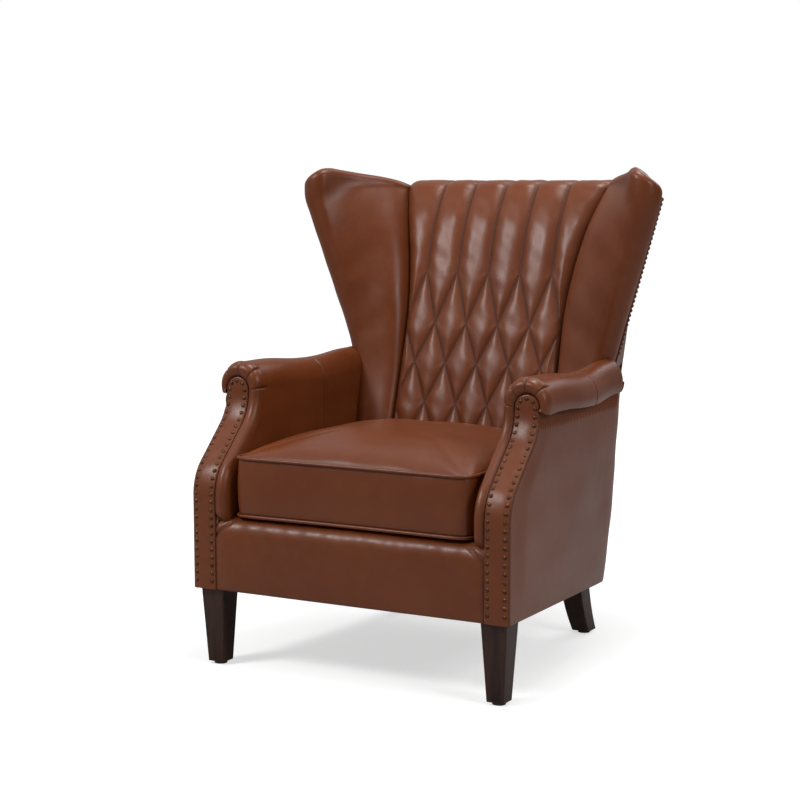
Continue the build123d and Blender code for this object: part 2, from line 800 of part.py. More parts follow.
border_mid = border_top_round * (1 - sqrt(0.5))
border_edges = [
    Line(yz(border_front_y, base_low_z), yz(border_front_y, deck_top_z - border_top_round)),
    ThreePointArc(
        yz(border_front_y, deck_top_z - border_top_round),
        yz(border_front_y + border_mid, deck_top_z - border_mid),
        yz(border_front_y + border_top_round, deck_top_z)),
] + chain([
    yz(border_front_y + border_top_round, deck_top_z), yz(rail_back_y, deck_top_z),
    yz(rail_back_y, deck_low_z), yz(border_back_y, deck_low_z),
    yz(border_back_y, base_low_z), yz(border_front_y, base_low_z),
])
add("front_border", prism_x(border_edges, -border_half, border_half) - under_base)
add("front_rail", block(
    (-border_half, border_half), (rail_front_y, rail_back_y), (base_low_z, rail_top_z)) - under_base)

post_front_y = back_thickness / cos(curl_start) + web_thickness + 2 * hidden_gap
deck_back_y = back_y(deck_low_z) + post_front_y - hidden_gap
deck_half = facing_in_x - board_thickness * 2
add("seat_deck", block(
    (-deck_half, deck_half), (rail_back_y + hidden_gap, deck_back_y), (deck_low_z, deck_top_z - hidden_gap)))

rear_rail_back_y = outside_rear_y - panel_thickness - leg_inset
rear_rail_front_y = rear_rail_back_y - rail_thickness
add("rear_rail", block(
    (-rear_corner_half + leg_inset, rear_corner_half - leg_inset), (rear_rail_front_y, rear_rail_back_y),
    (base_low_z, rail_top_z)) - under_base)

side_front = (facing_in_x + leg_inset, rail_back_y + hidden_gap)
side_rear = (rear_corner_half + leather, rear_rail_front_y - hidden_gap)


def side_rail_x(y):
    """Middle line of the side rail in plan."""
    share = (y - side_front[1]) / (side_rear[1] - side_front[1])
    return side_front[0] + (side_rear[0] - side_front[0]) * share


half_rail = rail_thickness / 2
rail_plan = outline([
    (side_front[0] - half_rail, side_front[1], base_low_z),
    (side_front[0] + half_rail, side_front[1], base_low_z),
    (side_rear[0] + half_rail, side_rear[1], base_low_z),
    (side_rear[0] - half_rail, side_rear[1], base_low_z),
])
side_rail = extrude(make_face(rail_plan), rail_top_z - base_low_z, dir=(0, 0, 1)) - under_base
add_pair("side_rail", side_rail)


def corner_block(y_wall, y_tip, z_low):
    """A triangular glue block between a cross rail and the side rail."""
    x_wall = side_rail_x(y_wall) - half_rail - hidden_gap
    x_tip = side_rail_x(y_tip) - half_rail - hidden_gap
    corners = [(x_wall - block_leg, y_wall, z_low), (x_wall, y_wall, z_low), (x_tip, y_tip, z_low)]
    face = make_face(outline(corners))
    return extrude(face, rail_top_z - spring_wire - z_low, dir=(0, 0, 1))


# Back frame behind the foam
post_low_z = rail_top_z - post_foot
post_high_z = crest_z - 4 * crest_rear_round
post_side_x = side_rail_x(back_y(rail_top_z) + post_front_y + 2 * post_depth)
post_x = post_side_x - half_rail - post_width / 2 - hidden_gap


def post_place(z, x):
    """Middle of the back post at one height."""
    return x, back_y(z) + post_front_y + post_depth / 2 / cos(curl_start), z


back_post = bar(post_place(post_low_z, post_x), post_place(post_high_z, post_x), post_width, post_depth)
add_pair("back_post", back_post)

front_block = corner_block(
    rail_back_y + hidden_gap, rail_back_y + block_leg, front_clearance + dust_thickness)
rear_block = corner_block(
    rear_rail_front_y - hidden_gap, rear_rail_front_y - block_leg, front_clearance + dust_thickness)
blocks_right = [front_block, rear_block - back_post]
add("corner_blocks", group(blocks_right + [mirror(shape, about=Plane.YZ) for shape in blocks_right]))

top_rail_low_z = post_high_z - post_depth
top_rail_front_y = post_place(post_high_z, 0)[1] + post_depth / 2 + leather
pocket_top_z = crest_z - 2 * crest_rear_round
rail_half = outside_half(top_rail_low_z) - 3 * panel_thickness
add("back_top_rail", block(
    (-rail_half, rail_half), (top_rail_front_y, outside_y(top_rail_low_z) - panel_thickness - hidden_gap),
    (top_rail_low_z, pocket_top_z - hidden_gap)))
low_rail_z = deck_top_z + 2 * stick
inner_post_x = post_x - post_width / 2 - hidden_gap
add("back_lower_rail", bar(
    post_place(low_rail_z, -inner_post_x), post_place(low_rail_z, inner_post_x), post_depth * 0.7, stick))


def web(z):
    """An elastic strap across the posts."""
    low = z - web_width / 2
    high = z + web_width / 2
    front = post_front_y - hidden_gap - web_thickness
    back = post_front_y - hidden_gap
    return prism_x(
        outline([
            yz(back_y(low) + front, low), yz(back_y(high) + front, high),
            yz(back_y(high) + back, high), yz(back_y(low) + back, low)]),
        -post_x, post_x)


web_step = (post_high_z - low_rail_z - 2 * web_width) / (web_count - 1)
add("back_webbing", group([web(low_rail_z + web_width + web_step * index) for index in range(web_count)]))

# Wing frame: an upright in the rolled edge and a rail back to the top
wing_post_top_z = wing_wide_z - stick
wing_post_top = wing_tip(wing_post_top_z)
arm_clear_z = arm_height + soft_gap + stick / 2
wing_post = bar((*wing_tip(arm_clear_z), arm_clear_z), (*wing_post_top, wing_post_top_z), stick, stick)
rail_lift = top_rail_low_z + stick
wing_rail = bar(
    (*wing_post_top, wing_post_top_z - stick),
    (rail_half - stick, top_rail_front_y - hidden_gap, rail_lift - stick), stick, stick)
add_pair("wing_post", wing_post)
wing_rail = wing_rail - wing_post - back_post - parts["back_top_rail"]
add_pair("wing_rail", wing_rail)
frame_right = [back_post, parts["back_top_rail"], parts["back_webbing"], wing_post, wing_rail]
add_pair("wing_cover", wing_whole - wing_hollow - arm_space)
add_pair("wing_foam", (wing_whole & wing_hollow) - arm_space - frame_right)


# Springs and their clips
def spring(x):
    """A sinuous seat spring running from the front rail to the rear rail."""
    first_y = rail_front_y + rail_thickness / 2
    last_y = rear_rail_front_y + rail_thickness / 2
    step = (last_y - first_y) / (spring_bends + 1)
    swing = spring_swing / 2
    spring_z = rail_top_z + spring_wire / 2 + hidden_gap
    points = [(x, first_y, spring_z)]
    for index in range(1, spring_bends + 1):
        points.append((x + swing * (-1) ** index, first_y + step * index, spring_z))
    points.append((x, last_y, spring_z))
    path = FilletPolyline(*points, radius=step * 0.35)
    section = Plane(origin=path @ 0, z_dir=path % 0) * Circle(spring_wire / 2)
    return sweep(section, path=path)


spring_places = [spring_pitch * (index - (spring_count - 1) / 2) for index in range(spring_count)]
springs = [spring(x) for x in spring_places]
add("seat_springs", group(springs))
clip_low_z = rail_top_z
clip_high_z = deck_low_z - hidden_gap
clips = [
    block(
        (x - clip_size / 2, x + clip_size / 2), (y - clip_size / 2, y + clip_size / 2),
        (clip_low_z, clip_high_z)) - springs
    for x in spring_places
    for y in (rail_front_y + rail_thickness / 2, rear_rail_front_y + rail_thickness / 2)]
add("spring_clips", group(clips))

# Dust cover under the base, between the legs
dust_front_y = rail_front_y + leg_top
dust_back_y = rear_leg_top_y - rear_leg_top
dust_half = side_rail_x(dust_back_y)
add("dust_cover", prism_x(
    outline([
        yz(dust_front_y, base_z(dust_front_y)), yz(dust_back_y, base_z(dust_back_y)),
        yz(dust_back_y, base_z(dust_back_y) - dust_thickness),
        yz(dust_front_y, base_z(dust_front_y) - dust_thickness)]),
    -dust_half, dust_half))


# Legs, glides and bolts
def leg_section(x, y, size, z):
    """A square of the leg at one height, its corners just broken."""
    return Pos(x, y, z) * RectangleRounded(size, size, size / 12)


front_leg_x = facing_out_x - leg_inset - leg_top / 2
front_leg_y = front_y + leg_inset + leg_top / 2
front_leg = loft([
    leg_section(front_leg_x, front_leg_y, leg_foot, glide_height),
    leg_section(front_leg_x, front_leg_y, leg_top, front_clearance + glide_height)]) & under_base
rear_leg = loft([
    leg_section(rear_leg_x, rear_leg_foot_y, rear_leg_foot, glide_height),
    leg_section(
        rear_leg_x, rear_leg_top_y + (rear_leg_foot_y - rear_leg_top_y) * sabre_share,
        (rear_leg_foot + rear_leg_top) / 2, rear_clearance / 2),
    leg_section(rear_leg_x, rear_leg_top_y, rear_leg_top, rear_clearance + glide_height)]) & under_base
glide = Cylinder(glide_diameter / 2, glide_height)
glides = [
    Pos(side * x, y, glide_height / 2) * glide
    for x, y in ((front_leg_x, front_leg_y), (rear_leg_x, rear_leg_foot_y)) for side in (1, -1)]
add("foot_glides", group(glides))


def leg_bolt(x, y):
    """A hanger bolt from a leg up into the frame."""
    middle = base_z(y) + (bolt_in_block - bolt_in_leg) / 2
    return Pos(x, y, middle) * Cylinder(bolt_diameter / 2, bolt_in_leg + bolt_in_block)


front_bolt = leg_bolt(
    (stump_limits[0] + stump_limits[1]) / 2, front_y + facing_thickness + hidden_gap + stick / 2)
rear_bolt = leg_bolt(rear_leg_x, (rear_rail_front_y + rear_rail_back_y) / 2)
bolts_right = [front_bolt, rear_bolt]
add("leg_bolts", group(bolts_right + [mirror(shape, about=Plane.YZ) for shape in bolts_right]))
add_pair("front_leg", front_leg - front_bolt)
add_pair("rear_leg", rear_leg - rear_bolt)
add_pair("arm_stump", stump - under_base - front_bolt)
parts["rear_rail"] = parts["rear_rail"] - [rear_bolt, mirror(rear_bolt, about=Plane.YZ)]

# Seat cushion: a crowned top and a flat bottom sewn to a boxing, with a welt in each seam
boxing_low_z = cushion_bottom_z + welt_diameter
boxing_high_z = boxing_low_z + cushion_boxing_height
crown = seat_height - boxing_high_z


def cushion_plan(z, grow):
    """Plan of the cushion at one height: sides drawn in between rounded corners."""
    rear = back_y(min(z, boxing_high_z)) - cushion_back_gap
    half = cushion_half + grow
    deep = (rear - cushion_front_y) / 2 + grow
    draw = cushion_draw_in
    corners = [(-half, -deep), (half, -deep), (half, deep), (-half, deep)]
    middles = [(0, -deep + draw), (half - draw, 0), (0, deep - draw), (-half + draw, 0)]
    edges = [
        ThreePointArc(corners[index], middles[index], corners[(index + 1) % 4]) for index in range(4)]
    face = make_face(edges)
    return Pos(0, (cushion_front_y + rear) / 2, z) * fillet(face.vertices(), cushion_corner)


def crown_form(inset):
    """The crowned top."""
    return loft([
        cushion_plan(boxing_high_z + (crown - inset) * rise, -shrink - inset)
        for rise, shrink in cushion_crown_steps])


def boxing_form(inset):
    """The band round the side, swelling a little between its seams."""
    middle = (boxing_low_z + boxing_high_z) / 2
    return loft([
        cushion_plan(boxing_low_z, -inset), cushion_plan(middle, cushion_swell - inset),
        cushion_plan(boxing_high_z, -inset)])


def bottom_form(inset):
    """The bottom, nearly flat."""
    return loft([
        cushion_plan(cushion_bottom_z + inset, -2 * welt_diameter - inset),
        cushion_plan(boxing_low_z, -inset)])


def welt(z):
    """The piped edge that stands out at one seam."""
    path = cushion_plan(z, welt_diameter / 2 + 2 * soft_gap).face().outer_wire()
    section = Plane(origin=path @ 0, z_dir=path % 0) * Circle(welt_diameter / 2)
    return sweep(section, path=path)


add("cushion_top_panel", crown_form(0) - crown_form(cushion_cover))
add("cushion_boxing", boxing_form(0) - boxing_form(cushion_cover))
add("cushion_bottom_panel", bottom_form(0) - bottom_form(cushion_cover))
add("cushion_top_welt", welt(boxing_high_z))
add("cushion_bottom_welt", welt(boxing_low_z))
core_inset = cushion_cover + hidden_gap
add("cushion_core", crown_form(core_inset) + boxing_form(core_inset) + bottom_form(core_inset))

os.makedirs("parts", exist_ok=True)
for name, shape in parts.items():
    export_step(shape, f"parts/{name}.step")
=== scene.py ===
"""Dresses the solid frame of a leather wing armchair and sets it in a plain studio."""
import logging
import math
from dataclasses import dataclass, field
from enum import Enum
from typing import Any, Optional, Sequence, Union

import bmesh
import bpy
import numpy as np
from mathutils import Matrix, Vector


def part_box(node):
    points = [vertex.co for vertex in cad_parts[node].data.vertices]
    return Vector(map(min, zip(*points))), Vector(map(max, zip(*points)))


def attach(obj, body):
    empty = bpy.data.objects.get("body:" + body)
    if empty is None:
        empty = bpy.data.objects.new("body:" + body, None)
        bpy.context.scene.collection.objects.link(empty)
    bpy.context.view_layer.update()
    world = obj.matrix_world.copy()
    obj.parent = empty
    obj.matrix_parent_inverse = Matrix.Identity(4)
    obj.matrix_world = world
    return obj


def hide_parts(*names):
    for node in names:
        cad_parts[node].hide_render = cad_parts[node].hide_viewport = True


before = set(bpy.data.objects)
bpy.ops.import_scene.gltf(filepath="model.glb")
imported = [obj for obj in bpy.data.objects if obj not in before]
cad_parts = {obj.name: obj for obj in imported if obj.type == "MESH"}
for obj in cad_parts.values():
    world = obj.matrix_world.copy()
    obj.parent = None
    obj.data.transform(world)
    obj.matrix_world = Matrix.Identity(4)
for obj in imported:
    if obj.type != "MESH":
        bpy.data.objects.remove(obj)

LOG = logging.getLogger("armchair")
MM = 0.001
SEAM_AND_SHADE = "seam_and_shade"
WELD = 0.02
PIPING_SIDES = 12
Array = np.ndarray
Place = tuple[float, float, float]
Colour = tuple[float, float, float]


class Body(Enum):
    """The bodies of the frame that pieces ride on."""

    CHAIR = "chair"
    CUSHION = "seat_cushion"


class Slot(Enum):
    """The record's material slots that show."""

    LEATHER = "leather"
    DARK_WOOD = "dark_wood"
    FRAME_WOOD = "frame_wood"
    NAIL = "bronze_nail"
    SPRING = "spring_steel"
    CLIP = "clip_steel"
    GLIDE = "glide"
    DECK = "deck_cloth"
    DUST = "dust_cloth"
    WEBBING = "webbing"


class Side(Enum):
    """The two sides of the chair, with the sign of their x."""

    RIGHT = 1
    LEFT = -1

    @property
    def word(self) -> str:
        """The side's name in node names."""
        return self.name.lower()


class Signal:
    """A shader value that takes part in Python expressions."""

    def __init__(self, graph: "Graph", socket: bpy.types.NodeSocket) -> None:
        """Wraps one output socket of a graph."""
        self.graph = graph
        self.socket = socket

    def __add__(self, other: "Term") -> "Signal":
        """This value plus another."""
        return self.graph.math("ADD", self, other)

    __radd__ = __add__

    def __mul__(self, other: "Term") -> "Signal":
        """This value times another."""
        return self.graph.math("MULTIPLY", self, other)

    __rmul__ = __mul__

    def __sub__(self, other: "Term") -> "Signal":
        """This value less another."""
        return self.graph.math("SUBTRACT", self, other)

    def __rsub__(self, other: "Term") -> "Signal":
        """Another value less this one."""
        return self.graph.math("SUBTRACT", other, self)

    def above(self, low: float, high: float) -> "Signal":
        """How far the value is from low to high, kept between 0 and 1."""
        return self.graph.ramp(self, low, high)


Term = Union[Signal, float]


class Graph:
    """The node graph of one material or of the world."""

    def __init__(self, owner: Union[bpy.types.Material, bpy.types.World], coordinate: str = "Object") -> None:
        """Starts an empty graph.

        Args:
            owner: The material or world it belongs to.
            coordinate: The texture coordinate its textures follow.
        """
        self.owner = owner
        owner.use_nodes = True
        self.tree = owner.node_tree
        self.tree.nodes.clear()
        self.place = self.node("ShaderNodeTexCoord").outputs[coordinate]

    @classmethod
    def material(cls, name: str) -> "Graph":
        """Starts the graph of a new material."""
        return cls(bpy.data.materials.new(name))

    def node(self, kind: str, settings: Optional[dict[str, Any]] = None,
             inputs: Optional[dict[Union[str, int], Any]] = None) -> bpy.types.Node:
        """Adds one node.

        Args:
            kind: The node's type.
            settings: Properties that are set before its sockets.
            inputs: Values, signals or sockets by socket name or number.

        Returns:
            The new node.
        """
        node = self.tree.nodes.new(kind)
        for key, value in (settings or {}).items():
            setattr(node, key, value)
        for key, value in (inputs or {}).items():
            if isinstance(value, Signal):
                value = value.socket
            if isinstance(value, bpy.types.NodeSocket):
                self.tree.links.new(value, node.inputs[key])
            else:
                node.inputs[key].default_value = value
        return node

    def math(self, operation: str, first: Term, second: Term) -> Signal:
        """One Math node on two terms."""
        node = self.node("ShaderNodeMath", {"operation": operation}, {0: first, 1: second})
        return Signal(self, node.outputs[0])

    def ramp(self, value: Signal, low: float, high: float) -> Signal:
        """A value's smooth share of the way from low to high."""
        node = self.node(
            "ShaderNodeMapRange", {"interpolation_type": "SMOOTHSTEP"},
            {"Value": value, "From Min": low, "From Max": high})
        return Signal(self, node.outputs[0])

    def mix(self, share: Term, first: Any, second: Any) -> Signal:
        """A colour between two colours."""
        pair = {key: (*colour, 1.0) if isinstance(colour, tuple) else colour
                for key, colour in ((6, first), (7, second))}
        node = self.node("ShaderNodeMix", {"data_type": "RGBA"}, {0: share, **pair})
        return Signal(self, node.outputs[2])

    def stretched(self, factor: Place) -> bpy.types.NodeSocket:
        """The object's own coordinates, scaled along each axis."""
        node = self.node("ShaderNodeVectorMath", {"operation": "MULTIPLY"}, {0: self.place, 1: factor})
        return node.outputs[0]

    def noise(self, scale: float, detail: float = 2.0, vector: Any = None) -> Signal:
        """Soft noise from 0 to 1."""
        node = self.node(
            "ShaderNodeTexNoise", None,
            {"Vector": vector or self.place, "Scale": scale, "Detail": detail})
        return Signal(self, node.outputs[0])

    def cells(self, scale: float) -> Signal:
        """Distance to the nearest edge of small cells, as between the pebbles of a grain."""
        node = self.node(
            "ShaderNodeTexVoronoi", {"feature": "DISTANCE_TO_EDGE"}, {"Vector": self.place, "Scale": scale})
        return Signal(self, node.outputs["Distance"])

    def bands(self, scale: float, axis: str) -> Signal:
        """Straight bands along one axis."""
        node = self.node(
            "ShaderNodeTexWave", {"wave_type": "BANDS", "bands_direction": axis},
            {"Vector": self.place, "Scale": scale})
        return Signal(self, node.outputs[1])

    def mark(self, name: str) -> Signal:
        """A value kept on the mesh's points."""
        node = self.node("ShaderNodeAttribute", {"attribute_name": name})
        return Signal(self, node.outputs["Fac"])

    def bump(self, height: Signal, strength: float, distance: float) -> Signal:
        """A normal raised by a height."""
        node = self.node(
            "ShaderNodeBump", None, {"Height": height, "Strength": strength, "Distance": distance})
        return Signal(self, node.outputs[0])

    def close(self, inputs: dict[str, Any]) -> bpy.types.Material:
        """Ends the graph in one Principled shader.

        Args:
            inputs: Its sockets.

        Returns:
            The finished material.
        """
        shader = self.node("ShaderNodeBsdfPrincipled", None, inputs)
        self.node("ShaderNodeOutputMaterial", None, {"Surface": shader.outputs[0]})
        return self.owner


@dataclass(frozen=True)
class LeatherFinish:
    """Semi-gloss brown leather with a fine pebbled grain."""

    name: str = "saddle_leather"
    slot: Slot = Slot.LEATHER
    mid: Colour = (0.112, 0.0265, 0.0060)
    deep: Colour = (0.094, 0.0205, 0.0042)
    worn: Colour = (0.134, 0.036, 0.0095)
    # Colour of dark seam lines, also used as painted shade in creases, recesses, tucks and crevices.
    seam: Colour = (0.030, 0.007, 0.002)
    roughness: float = 0.26
    specular: float = 0.24
    pebbles: float = 420.0
    bump_strength: float = 0.2
    bump_depth: float = 0.0012

    def material(self) -> bpy.types.Material:
        """Builds the leather."""
        graph = Graph.material(self.name)
        cloud = graph.noise(5.0, 4.0).above(0.30, 0.70)
        mottle = graph.noise(38.0, 5.0)
        seam_and_shade = graph.mark(SEAM_AND_SHADE)
        colour = graph.mix(cloud, self.deep, self.mid)
        colour = graph.mix(mottle.above(0.42, 0.78) * 0.30, colour, self.worn)
        # Painted shade and seam lines: the mark on the points darkens the leather towards the seam colour.
        colour = graph.mix(seam_and_shade * 0.8, colour, self.seam)
        pebble = graph.cells(self.pebbles).above(0.0, 0.16)
        crinkle = graph.noise(120.0, 3.0)
        sag = graph.noise(16.0, 2.0)
        colour = graph.mix((1.0 - pebble) * 0.22, colour, self.deep)
        height = pebble * 0.16 + crinkle * 0.18 + sag * 1.2
        return graph.close({
            "Base Color": colour,
            "Roughness": self.roughness + mottle * 0.12 + seam_and_shade * 0.25 + (1.0 - pebble) * 0.06,
            "Normal": graph.bump(height, self.bump_strength, self.bump_depth),
            "Specular IOR Level": self.specular,
        })


@dataclass(frozen=True)
class WoodFinish:
    """Wood with long grain along z, stained or bare."""

    name: str
    slot: Slot
    light: Colour
    dark: Colour
    roughness: float
    grain: Place = (60.0, 60.0, 3.5)
    specular: float = 0.2

    def material(self) -> bpy.types.Material:
        """Builds the wood."""
        graph = Graph.material(self.name)
        along = graph.stretched(self.grain)
        streak = graph.noise(1.0, 6.0, along)
        pore = graph.noise(6.0, 3.0, along).above(0.52, 0.72)
        colour = graph.mix(streak.above(0.32, 0.68), self.dark, self.light)
        colour = graph.mix(pore * 0.5, colour, self.dark)
        return graph.close({
            "Base Color": colour,
            "Roughness": self.roughness + streak * 0.12,
            "Normal": graph.bump(streak - pore * 0.6, 0.16, 0.0008),
            "Specular IOR Level": self.specular,
        })


@dataclass(frozen=True)
class MetalFinish:
    """Metal with light tarnish."""

    name: str
    slot: Slot
    bright: Colour
    tarnish: Colour
    roughness: float

    def material(self) -> bpy.types.Material:
        """Builds the metal."""
        graph = Graph.material(self.name)
        patch = graph.noise(150.0, 4.0)
        return graph.close({
            "Base Color": graph.mix(patch.above(0.35, 0.72), self.bright, self.tarnish),
            "Roughness": self.roughness + patch * 0.2,
            "Metallic": 1.0,
        })


@dataclass(frozen=True)
class ClothFinish:
    """Plain woven cloth."""

    name: str
    slot: Slot
    thread: Colour
    gap: Colour
    threads: float

    def material(self) -> bpy.types.Material:
        """Builds the cloth."""
        graph = Graph.material(self.name)
        weave = graph.bands(self.threads, "X") * graph.bands(self.threads, "Y")
        fuzz = graph.noise(90.0, 4.0)
        colour = graph.mix(weave, self.gap, self.thread)
        return graph.close({
            "Base Color": graph.mix(fuzz * 0.3, colour, self.gap),
            "Roughness": 0.82 + fuzz * 0.12,
            "Normal": graph.bump(weave + fuzz * 0.4, 0.3, 0.0006),
        })


@dataclass(frozen=True)
class MouldedFinish:
    """Moulded plastic with a fine texture."""

    name: str
    slot: Slot
    colour: Colour
    shade: Colour
    roughness: float
    grain: float

    def material(self) -> bpy.types.Material:
        """Builds the moulded surface."""
        graph = Graph.material(self.name)
        speck = graph.noise(self.grain, 3.0)
        return graph.close({
            "Base Color": graph.mix(speck.above(0.35, 0.7), self.colour, self.shade),
            "Roughness": self.roughness + speck * 0.1,
            "Normal": graph.bump(speck, 0.25, 0.0006),
        })


Finish = Union[LeatherFinish, WoodFinish, MetalFinish, ClothFinish, MouldedFinish]


class Wardrobe:
    """Every finish of the chair, with its material made once."""

    def __init__(self) -> None:
        """Makes the materials."""
        finishes: list[Finish] = [
            LeatherFinish(),
            WoodFinish("espresso_legs", Slot.DARK_WOOD, (0.034, 0.013, 0.008), (0.015, 0.006, 0.004), 0.30),
            WoodFinish("frame_birch", Slot.FRAME_WOOD, (0.50, 0.34, 0.18), (0.34, 0.21, 0.10), 0.55),
            MetalFinish("bronze_nails", Slot.NAIL, (0.092, 0.042, 0.021), (0.034, 0.016, 0.009), 0.34),
            MetalFinish("spring_wire", Slot.SPRING, (0.34, 0.33, 0.31), (0.18, 0.17, 0.16), 0.34),
            MetalFinish("zinc_clips", Slot.CLIP, (0.48, 0.48, 0.46), (0.30, 0.30, 0.29), 0.38),
            MouldedFinish(
                "glide_plastic", Slot.GLIDE, (0.022, 0.020, 0.019), (0.012, 0.011, 0.010), 0.5, 400.0),
            ClothFinish("deck_cloth", Slot.DECK, (0.060, 0.030, 0.018), (0.028, 0.013, 0.008), 420.0),
            ClothFinish("dust_cloth", Slot.DUST, (0.020, 0.019, 0.018), (0.010, 0.010, 0.009), 700.0),
            ClothFinish("elastic_web", Slot.WEBBING, (0.36, 0.28, 0.17), (0.12, 0.09, 0.06), 300.0),
        ]
        self.materials: dict[Slot, bpy.types.Material] = {
            finish.slot: finish.material() for finish in finishes}

    def dress(self, piece: bpy.types.Object, slot: Slot) -> None:
        """Gives a new piece the finish of its slot."""
        piece.data.materials.clear()
        piece.data.materials.append(self.materials[slot])

    def dress_node(self, name: str, slot: Slot) -> None:
        """Gives a solid of the frame its finish, on its object's own slots."""
        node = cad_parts[name]
        if not node.material_slots:
            node.data.materials.append(self.materials[slot])
        for place in node.material_slots:
            place.link = "OBJECT"
            place.material = self.materials[slot]


def smooth(value: Array) -> Array:
    """A share eased at both ends, kept between 0 and 1."""
    share = np.clip(value, 0.0, 1.0)
    return share * share * (3.0 - 2.0 * share)


def puff(distance: Array, reach: Union[Array, float]) -> Array:
    """How far a padded face has risen at a distance from its seam, from 0 to 1."""
    away = 1.0 - np.clip(distance / reach, 0.0, 1.0)
    return np.power(1.0 - np.power(away, 2.1), 0.72)


def waves(points: Array, length: float, seed: float) -> Array:
    """Soft uneven waves over points, from about -1 to 1, the same on every run."""
    turn = 2.0 * math.pi / length
    x, y, z = (points[..., axis] * turn for axis in range(3))
    first = np.sin(0.83 * x + 0.57 * z + 0.31 * y + seed)
    second = np.sin(0.61 * y - 0.77 * x + 0.29 * z + 2.3 * seed + 1.1)
    third = np.sin(1.13 * z - 0.41 * y + 0.36 * x + 3.7 * seed + 2.4)
    return (first * second + third * 0.8 * first + second * 0.5) / 1.6


def normals(points: Array) -> Array:
    """Unit normals of a grid of points."""
    along = np.gradient(points, axis=0)
    across = np.gradient(points, axis=1)
    cross = np.cross(along, across)
    length = np.linalg.norm(cross, axis=2, keepdims=True)
    return cross / np.maximum(length, 1e-9)


def outward_normals(points: Array) -> Array:
    """Unit normals of a grid on the right side of the chair, turned to the outside."""
    out = normals(points)
    return -out if out[..., 0].mean() < 0.0 else out


def bell(distance: Array, width: float) -> Array:
    """A mark that is 1 on a line and fades away from it."""
    return np.exp(-(distance / width) ** 2)


def running(steps: Array) -> Array:
    """Sums of the steps so far, from zero."""
    return np.concatenate([[0.0], np.cumsum(steps)])


def travelled(points: Array) -> Array:
    """Distance from the start at each point of a line."""
    return running(np.linalg.norm(np.diff(points, axis=0), axis=1))


def forward(lean: Array) -> Array:
    """Directions ahead of the arm front where it leans back by an angle."""
    return np.stack([np.zeros_like(lean), -np.cos(lean), np.sin(lean)], axis=1)


def node_box(name: str) -> tuple[Array, Array]:
    """Low and high corner of a solid's box, in millimetres."""
    low, high = (np.array(corner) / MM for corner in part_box(name))
    return low, high


def square_grid(places: Array) -> tuple[Array, Array]:
    """Places across and along a square grid."""
    along, across = np.meshgrid(places, places, indexing="ij")
    return across, along


def resample(points: Array, count: int) -> Array:
    """Points at equal steps along a line of points."""
    distance = travelled(points)
    wanted = np.linspace(0.0, distance[-1], count)
    columns = [np.interp(wanted, distance, column) for column in points.T]
    return np.stack(columns, axis=1)


def bezier(corners: Sequence[Sequence[float]], count: int) -> Array:
    """Points on a cubic curve of four corners."""
    t = np.linspace(0.0, 1.0, count)[:, None]
    a, b, c, d = (np.asarray(corner, float) for corner in corners)
    return (1 - t) ** 3 * a + 3 * t * (1 - t) ** 2 * b + 3 * t * t * (1 - t) * c + t ** 3 * d


@dataclass
class Sheet:
    """A grid of points in millimetres, with a mark of seam lines and painted shade on each."""

    points: Array
    seam_and_shade: Optional[Array] = None

    def faces(self, start: int = 0) -> list[tuple[int, int, int, int]]:
        """Four-sided faces of the grid, its first point numbered start."""
        rows, columns = self.points.shape[:2]
        return [
            (start + r * columns + c, start + r * columns + c + 1,
             start + (r + 1) * columns + c + 1, start + (r + 1) * columns + c)
            for r in range(rows - 1) for c in range(columns - 1)]

    def marks(self) -> Array:
        """The marks of seam lines and painted shade, one for each point."""
        if self.seam_and_shade is None:
            return np.zeros(self.points.shape[0] * self.points.shape[1])
        return self.seam_and_shade.reshape(-1)

    def mirrored(self, side: Side) -> "Sheet":
        """The same sheet on the given side, made for the right one."""
        if side is Side.RIGHT:
            return self
        return Sheet(self.points * np.array([-1.0, 1.0, 1.0]), self.seam_and_shade)


